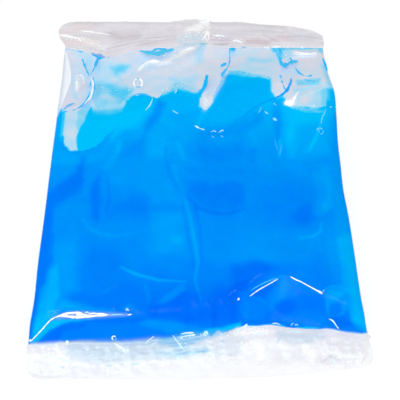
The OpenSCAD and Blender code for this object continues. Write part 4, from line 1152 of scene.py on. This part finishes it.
def film_paint(look, name):
    """Clear film: a thin glossy skin that hides what is behind it only as far as its
    cover says, with fine grain and dents from the film's making."""
    paint = Paint(name)
    grain = paint.noise(900.0, 3.0)
    cover = (paint.attribute("cover") + 0.06 * (paint.noise(260.0, 3.0, (1, 2.2, 1)) - 0.5)).held()
    tone = paint.blend(0.15, paint.attribute("tone", "Color"), paint.node(
        "ShaderNodeValToRGB", {"stops": [(0.3, (0.5, 0.5, 0.52)), (0.7, (1, 1, 1))]}, {"Fac": grain}), "MULTIPLY")
    # Painted highlights: white flecks where the crumpled film sparkles
    glint_flecks = paint.attribute("sparkle") * ((paint.noise(1100.0, 1.0, (1, 1.6, 1)) - 0.55) * 9.0).held()
    tone = paint.blend(glint_flecks, tone, (1, 1, 1, 1))
    cover = (cover + 0.5 * glint_flecks).held()
    dents = paint.node("ShaderNodeBump", {}, {
        "Strength": 0.15, "Distance": 0.0004, "Height": paint.noise(420.0, 2.0) + 0.25 * grain})
    # Painted light: the film glows in its own tone by the same share
    shader = paint.node(
        "ShaderNodeBsdfPrincipled", {},
        {
            "Base Color": tone,
            "Roughness": look.film_roughness + 0.08 * grain,
            "IOR": 1.5,
            "Specular Tint": (0.7, 0.95, 1.0, 1.0),
            "Normal": dents,
            "Emission Color": tone,
            "Emission Strength": look.glow,
        },
    )
    clear = paint.node("ShaderNodeBsdfTransparent", {}, {"Color": (1, 1, 1, 1)})
    mixed = paint.node("ShaderNodeMixShader", {}, {0: cover, 1: clear, 2: shader})
    return paint.finish(mixed)


def painted_glint_paint(look, name):
    """Painted highlight on the film: it shines white, or pale cyan where gel lies close under it."""
    paint = Paint(name)
    white = paint.attribute("whiteness") + 0.15 * (paint.noise(700.0) - 0.5)
    colour = paint.node("ShaderNodeValToRGB", {"stops": [
        (0.0, linear((60, 190, 250))), (0.5, linear((150, 228, 252))), (1.0, (1, 1, 1))]}, {"Fac": white.held()})
    shader = paint.node(
        "ShaderNodeBsdfPrincipled", {},
        {"Base Color": colour, "Roughness": 0.3, "Emission Color": colour, "Emission Strength": look.glow},
    )
    return paint.finish(shader)


class PackSizes(bpy.types.PropertyGroup):
    """Sizes of the pack."""

    tube_width: bpy.props.FloatProperty(
        name="Tube width", description="Width of the film tube when it is pressed flat",
        default=0.144, min=0.11, max=0.2, unit="LENGTH", subtype="DISTANCE")
    pack_length: bpy.props.FloatProperty(
        name="Pack length", description="Length of the pack over both loose edges",
        default=round(POUCH_HIGH[1] - POUCH_LOW[1], 4), min=0.17, max=0.28, unit="LENGTH", subtype="DISTANCE")
    near_height: bpy.props.FloatProperty(
        name="Height at the full end", description="Height of the filled body at the full end",
        default=0.0155, min=0.012, max=0.024, unit="LENGTH", subtype="DISTANCE")
    far_height: bpy.props.FloatProperty(
        name="Height at the air pocket", description="Height of the filled body at the air pocket end",
        default=0.0095, min=0.007, max=0.014, unit="LENGTH", subtype="DISTANCE")
    dome_height: bpy.props.FloatProperty(
        name="Dome height", description="Extra height of the middle of the body over its shoulders",
        default=0.0014, min=0.0, max=0.003, unit="LENGTH", subtype="DISTANCE")
    fold_gain: bpy.props.FloatProperty(
        name="Fold strength", description="Height factor of the folds in the upper film",
        default=1.0, min=0.0, max=1.5)
    crinkle_height: bpy.props.FloatProperty(
        name="Crinkle height", description="Height of the fine crinkles in the two flanges",
        default=0.0008, min=0.0, max=0.002, unit="LENGTH", subtype="DISTANCE")


class PackLook(bpy.types.PropertyGroup):
    """Colours and gloss of the film and the gel."""

    dry_colour: bpy.props.FloatVectorProperty(
        name="Dry pocket", description="Colour of the pocket where next to no gel is left",
        default=linear((212, 214, 225)), size=3, min=0, max=1, subtype="COLOR")
    shallow_colour: bpy.props.FloatVectorProperty(
        name="Shallow gel", description="Colour of gel that is 8 mm deep",
        default=linear((0, 193, 246)), size=3, min=0, max=1, subtype="COLOR")
    deep_colour: bpy.props.FloatVectorProperty(
        name="Deep gel", description="Colour of gel that is 20 mm deep",
        default=linear((0, 88, 238)), size=3, min=0, max=1, subtype="COLOR")
    weld_colour: bpy.props.FloatVectorProperty(
        name="Weld film", description="Colour of the welded film at the air pocket end",
        default=(0.69, 0.67, 0.72), size=3, min=0, max=1, subtype="COLOR")
    skirt_colour: bpy.props.FloatVectorProperty(
        name="Skirt film", description="Colour of the crinkled film at the full end",
        default=(0.79, 0.81, 0.85), size=3, min=0, max=1, subtype="COLOR")
    film_roughness: bpy.props.FloatProperty(
        name="Film roughness", description="Roughness of the film's gloss",
        default=0.08, min=0.0, max=1.0, subtype="FACTOR")
    # Painted light: the gel, the film and the painted highlights all glow by this share, as emission
    glow: bpy.props.FloatProperty(
        name="Gel glow", description="Share of the gel's brightness that comes through it from below",
        default=0.3, min=0.0, max=1.0, subtype="FACTOR")


class StageLook(bpy.types.PropertyGroup):
    """The floor, the light and the camera."""

    floor_colour: bpy.props.FloatVectorProperty(
        name="Floor", description="Colour of the floor",
        default=(0.15, 0.15, 0.15), size=3, min=0, max=1, subtype="COLOR")
    sky_strength: bpy.props.FloatProperty(
        name="Soft light", description="Strength of the even white light from all round",
        default=0.45, min=0.0, max=3.0)
    key_power: bpy.props.FloatProperty(
        name="Key light", description="Power of the large soft lamp over the near end",
        default=6.0, min=0.0, max=100.0, unit="POWER")
    lens: bpy.props.FloatProperty(
        name="Lens", description="Focal length of the camera on a sensor 36 mm wide, in mm",
        default=FOCAL_PX * 36 / PICTURE, min=10.0, max=300.0)


def look_of(context):
    return context.scene.pack_sizes, context.scene.pack_look, context.scene.stage_look


def form_of(context):
    """The pack's form with its creases laid on."""
    form = PackForm(context.scene.pack_sizes)
    form.lay_creases()
    return form


def film_rows(form):
    """Rows of the film, from the near loose edge to the far one: closer together round
    the corners, half a millimetre apart on the weld bands, and crowded near the body's ends."""
    turn = form.corner_r * (1 - np.cos(np.linspace(0, math.pi / 2, 13)))[:-1]

    def flange(skirt, plain_n):
        plain = np.linspace(form.corner_r, skirt, plain_n + 1)[:-1]
        return np.concatenate([turn, plain, np.linspace(skirt, skirt + form.weld_l, 21)[:-1]])

    near = flange(form.near_skirt, 2) / form.near_flange - 1
    far = 2 - flange(form.far_skirt, 6) / form.far_flange
    t = np.linspace(0, 1, 235)
    return np.concatenate([near, mix(t, (1 - np.cos(math.pi * t)) / 2, 0.35), far[::-1]])


def near_path(path, soft, px, py):
    """Share from 0 to 1 of a soft line: 1 within half its width less the softness, 0
    beyond half its width and the softness."""
    d, width = path_distance(path, px, py)
    return ease(0.5 - (d - width / 2) / (2 * soft))


def within(outline, soft, px, py):
    """Share from 0 to 1 of a soft-edged area."""
    return ease(0.5 - outline_distance(outline, px, py) / (2 * soft))


def gel_depth(points, top):
    """Depth of the gel's colour at each point of its skin, in millimetres, and the
    strength of the grain in it: the depth goes down the picture, is set by the panes,
    changed by the marks, and is next to none in the open area."""
    px, py = to_picture(points)
    wx = px + 1.6 * (value_noise(px / 6, py / 6, 31) - 0.5)
    wy = py + 1.6 * (value_noise(px / 6, py / 6, 32) - 0.5)
    depth = np.interp(py, *zip(*GEL_DOWN))
    side = np.where(px < PICTURE / 2, np.interp(py, *zip(*GEL_LEFT)), np.interp(py, *zip(*GEL_RIGHT)))
    for value, soft, outline in GEL_PANES:
        depth = mix(depth, value, within(outline, soft, wx, wy))
    for change, soft, path in GEL_MARKS:
        depth = depth + change * near_path(path, soft, px, py)
    dry = np.full(px.shape, 0.25)
    for value, soft, outline in OPEN_PATCHES:
        dry = mix(dry, value, within(outline, soft, wx, wy))
    grain = np.full(px.shape, 0.5)
    for strength, soft, path in GRAINS:
        grain = np.maximum(grain, strength * near_path(path, soft, px, py))
    wx = wx + 1.4 * (value_noise(px / 2.2, py / 2.2, 22) - 0.5)
    wy = wy + 1.4 * (value_noise(px / 2.2, py / 2.2, 24) - 0.5)
    wet = (1 - within(OPEN_AREA, 0.8 + 3 * np.maximum(grain - 0.5, 0), wx, wy)) ** 3
    return np.where(top, mix(dry, depth, wet), side), np.where(top, 0.7 * grain - 0.25, 0.1)


class ICEPACK_OT_film(bpy.types.Operator):
    """Makes the film pouch: the welded tube with its folds, crinkled flanges and fin seam"""

    bl_idname = "icepack.film"
    bl_label = "Film pouch"

    def execute(self, context):
        sizes, look, _ = look_of(context)
        form = form_of(context)
        columns, rows = (216, 50, 7), film_rows(form)
        points, angle = form.skin(columns, rows, 0.0)
        top = np.broadcast_to(angle < 1.2, points.shape[:2])
        v = np.broadcast_to(np.asarray(rows)[:, None], top.shape)
        px, py = to_picture(points)
        edge = np.broadcast_to(ease((np.sin(angle) - 0.75) / 0.2), top.shape)
        tone = mix(np.array([0.0, 0.3, 0.8]), np.array([0.0, 0.42, 0.8]), edge[..., None])
        cover = 0.1 + 0.25 * edge
        near, far = ease(-(v - 0.004) * 220 + 0.5), ease((v - 0.992) * 90 + 0.5)
        out = clamp01(-v)[..., None]
        near_tone = mix(np.array(look.weld_colour[:]), np.array(look.skirt_colour[:]), ease(out * 1.4 + 0.35))
        tone = mix(mix(tone, near_tone, near[..., None]), np.array(look.weld_colour[:]), far[..., None])
        near_cover = np.where(top, mix(0.75, 0.12 + 0.15 * ease((150 - px) / 60), clamp01(-v)), 0.2)
        cover = mix(mix(cover, near_cover, near), np.where(top, 0.75, 0.2), far)
        open_share = ease(1.3 - gel_depth(points, top)[0] / 5) * (1 - far) * top
        tone = mix(tone, np.array([0.74, 0.74, 0.77]), open_share[..., None])
        # Painted reflection: toward the open pocket's sides, where the film is seen at a grazing angle, its cover
        # rises so that it shows grey
        rim = ease((np.sin(angle) - 0.1) / 0.7) * (1 - near) * (1 - far)
        cover = mix(cover, 0.07, open_share) + 0.3 * open_share * rim
        mottle = value_noise(px / 9, py / 4, 41) + 0.6 * value_noise(px / 14, py / 1.6, 42) - 0.8
        tone = tone * (1 + 0.12 * (mottle * np.maximum(near, far))[..., None] * np.array([1.0, 1.1, 0.9]))
        for colour, strength, soft, path in TINTS:
            amount = strength * near_path(path, soft, px, py) * top
            tone = mix(tone, over_white(colour, 0.8), amount[..., None])
            cover = mix(cover, 0.8, amount)
        for colour, path in RIBS:
            amount = 0.8 * near_path(path, 0.8, px, py) * top
            tone = mix(tone, over_white(colour, 0.8), amount[..., None])
            cover = mix(cover, 0.8, amount)
        # Painted highlights: soft white sheen on the film's tone and cover
        for strength, soft, path in PAINTED_SHEENS:
            amount = strength * near_path(path, soft, px, py) * top
            tone = mix(tone, 1.0, amount[..., None])
            cover = mix(cover, 0.85, amount)
        # Where the painted sparkle highlights go
        sparkle = np.zeros(px.shape)
        for strength, soft, path in PAINTED_SPARKLES:
            sparkle = np.maximum(sparkle, strength * near_path(path, soft, px, py) * top)
        quads, triangles = skin_faces(points, columns)
        film = add_mesh("film_pouch_skin", points, quads, triangles, tone=tone, cover=cover, sparkle=sparkle)
        film.data.materials.append(film_paint(look, "clear film"))
        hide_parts("film_pouch")
        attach(film, "root")
        return {"FINISHED"}


class ICEPACK_OT_gel(bpy.types.Operator):
    """Makes the blue gel, which fills the pouch up to the air pocket"""

    bl_idname = "icepack.gel"
    bl_label = "Blue gel"

    def execute(self, context):
        _, look, _ = look_of(context)
        form = form_of(context)
        columns = (230, 50, 6)
        t = np.linspace(0, 1, 290)
        rows = mix(0.006, 0.992, mix(t, (1 - np.cos(math.pi * t)) / 2, 0.3))
        points, angle = form.skin(columns, rows, 0.3, sunk=True)
        top = np.broadcast_to(angle < 1.9, points.shape[:2])
        quads, triangles = skin_faces(points, columns)
        depth, grain = gel_depth(points, top)
        gel = add_mesh("gel_body", points, quads, triangles, gel_depth=depth, grain=grain)
        gel.data.materials.append(gel_paint(look, "blue gel"))
        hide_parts("gel_fill")
        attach(gel, "root")
        return {"FINISHED"}


class ICEPACK_OT_streaks(bpy.types.Operator):
    """Makes the streaks of gel that cling under the film of the air pocket"""

    bl_idname = "icepack.streaks"
    bl_label = "Gel streaks"

    def execute(self, context):
        _, look, _ = look_of(context)
        form = form_of(context)
        strips = [lens_strip(form, places, 0.4, -0.45) for _, places in STREAKS]
        points, quads, triangles, counts = join_strips(strips)
        depth = np.repeat([float(value) for value, _ in STREAKS], counts)
        streaks = add_mesh("gel_streaks", points, quads, triangles, gel_depth=depth)
        streaks.data.materials.append(gel_paint(look, "clinging gel"))
        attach(streaks, "root")
        return {"FINISHED"}


class ICEPACK_OT_glints(bpy.types.Operator):
    """Makes the painted highlights on the sharp creases and specks of the film that shine white"""

    bl_idname = "icepack.glints"
    bl_label = "Painted film glints"

    def execute(self, context):
        _, look, _ = look_of(context)
        form = form_of(context)
        # Painted highlights: white and pale cyan strips laid on the film
        strips = [lens_strip(form, places, 0.25, 0.05) for _, places in PAINTED_GLINTS]
        points, quads, triangles, counts = join_strips(strips)
        whiteness = np.repeat([value for value, _ in PAINTED_GLINTS], counts)
        creases = add_mesh("film_painted_glints", points, quads, triangles, whiteness=whiteness)
        creases.data.materials.append(painted_glint_paint(look, "painted glint film"))
        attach(creases, "root")
        return {"FINISHED"}


class ICEPACK_OT_bubbles(bpy.types.Operator):
    """Makes the rims of the air bubbles that are trapped under the film, as painted highlights"""

    bl_idname = "icepack.bubbles"
    bl_label = "Trapped bubbles"

    def execute(self, context):
        _, look, _ = look_of(context)
        form = form_of(context)
        strips = []
        for cx, cy, radius, first, last, width, _ in BUBBLES:
            turn = np.radians(np.linspace(first, last, 11))
            arc = np.stack([cx + radius * np.cos(turn), cy + radius * np.sin(turn), np.full(11, width)], -1)
            strips.append(lens_strip(form, arc, 0.3, 0.02))
        points, quads, triangles, counts = join_strips(strips)
        whiteness = np.repeat([row[-1] for row in BUBBLES], counts)
        bubbles = add_mesh("trapped_bubbles", points, quads, triangles, whiteness=whiteness)
        bubbles.data.materials.append(painted_glint_paint(look, "bubble rim highlights"))
        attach(bubbles, "root")
        return {"FINISHED"}


class ICEPACK_OT_stage(bpy.types.Operator):
    """Makes the pale floor, the soft light and the camera"""

    bl_idname = "icepack.stage"
    bl_label = "Studio"

    def add_lamp(self, name, place, target, size, power, glossy_only=False):
        """An area lamp that faces a target."""
        lamp = bpy.data.lights.new(name, "AREA")
        lamp.shape, lamp.size, lamp.size_y = "RECTANGLE", size[0], size[1]
        lamp.energy = power
        obj = bpy.data.objects.new(name, lamp)
        bpy.context.scene.collection.objects.link(obj)
        obj.location = place
        obj.rotation_euler = (Vector(target) - Vector(place)).to_track_quat("-Z", "Y").to_euler()
        obj.visible_diffuse = not glossy_only
        return obj

    def execute(self, context):
        _, _, look = look_of(context)
        scene = context.scene
        half = 3.0
        grid = np.array([(-half, -half, -0.0003), (half, -half, -0.0003), (half, half, -0.0003), (-half, half, -0.0003)])
        floor = add_mesh("studio_floor", grid / MM, np.array([[0, 1, 2, 3]]))
        paint = Paint("pale floor")
        colour = (*look.floor_colour[:], 1)
        shader = paint.node("ShaderNodeBsdfPrincipled", {}, {
            "Base Color": paint.blend(paint.noise(30.0) * 0.05, colour, (1, 1, 1, 1)),
            "Roughness": 0.8, "Specular IOR Level": 0.0,
            "Emission Color": (1, 1, 1, 1), "Emission Strength": 0.88})
        floor.data.materials.append(paint.finish(shader))
        floor.visible_glossy = False

        world = bpy.data.worlds.new("soft white")
        world.use_nodes = True
        scene.world = world
        sky = world.node_tree.nodes["Background"]
        sky.inputs["Color"].default_value = (1, 1, 1, 1)
        sky.inputs["Strength"].default_value = look.sky_strength
        world.cycles_visibility.glossy = False
        scene.view_settings.view_transform = "Standard"

        self.add_lamp("key", (-0.25, -0.55, 1.0), (0, 0, 0), (0.8, 0.8), look.key_power)
        self.add_lamp("shoulder glint", (-0.24, 0.0, 1.0), (0, 0, 0), (0.05, 0.12), 0.7, True)
        self.add_lamp("tent glint left", (-0.38, 0.08, 0.95), (0, 0, 0), (0.06, 0.06), 0.4, True)
        self.add_lamp("tent glint right", (0.38, 0.08, 0.95), (0, 0, 0), (0.06, 0.06), 0.4, True)

        camera = bpy.data.cameras.new("photograph")
        camera.lens, camera.sensor_width = look.lens, 36
        camera.clip_start, camera.clip_end = 0.01, 20
        obj = bpy.data.objects.new("photograph", camera)
        scene.collection.objects.link(obj)
        right, up, back = eye_axes()
        axes = Matrix([[*right], [*up], [*back]]).transposed().to_4x4()
        obj.matrix_world = Matrix.Translation(Vector(EYE * MM)) @ axes
        scene.camera = obj
        return {"FINISHED"}


class ICEPACK_PT_panel(bpy.types.Panel):
    """Lists the pack's sizes, its looks and the steps that make it"""

    bl_idname = "ICEPACK_PT_panel"
    bl_label = "Gel ice pack"
    bl_space_type = "VIEW_3D"
    bl_region_type = "UI"
    bl_category = "Ice pack"

    def draw(self, context):
        for group in look_of(context):
            box = self.layout.box()
            for name in group.__annotations__:
                box.prop(group, name)
        for operator in OPERATORS:
            self.layout.operator(operator.bl_idname)


GROUPS = (PackSizes, PackLook, StageLook)
OPERATORS = (
    ICEPACK_OT_stage, ICEPACK_OT_gel, ICEPACK_OT_streaks, ICEPACK_OT_film, ICEPACK_OT_glints, ICEPACK_OT_bubbles,
)


def register():
    for item in (*GROUPS, *OPERATORS, ICEPACK_PT_panel):
        bpy.utils.register_class(item)
    bpy.types.Scene.pack_sizes = bpy.props.PointerProperty(type=PackSizes)
    bpy.types.Scene.pack_look = bpy.props.PointerProperty(type=PackLook)
    bpy.types.Scene.stage_look = bpy.props.PointerProperty(type=StageLook)


def unregister():
    del bpy.types.Scene.stage_look
    del bpy.types.Scene.pack_look
    del bpy.types.Scene.pack_sizes
    for item in reversed((*GROUPS, *OPERATORS, ICEPACK_PT_panel)):
        bpy.utils.unregister_class(item)


def main():
    """Registers the add-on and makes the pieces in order."""
    register()
    bpy.ops.icepack.stage()
    bpy.ops.icepack.gel()
    bpy.ops.icepack.streaks()
    bpy.ops.icepack.film()
    bpy.ops.icepack.glints()
    bpy.ops.icepack.bubbles()


if __name__ == "__main__":
    main()
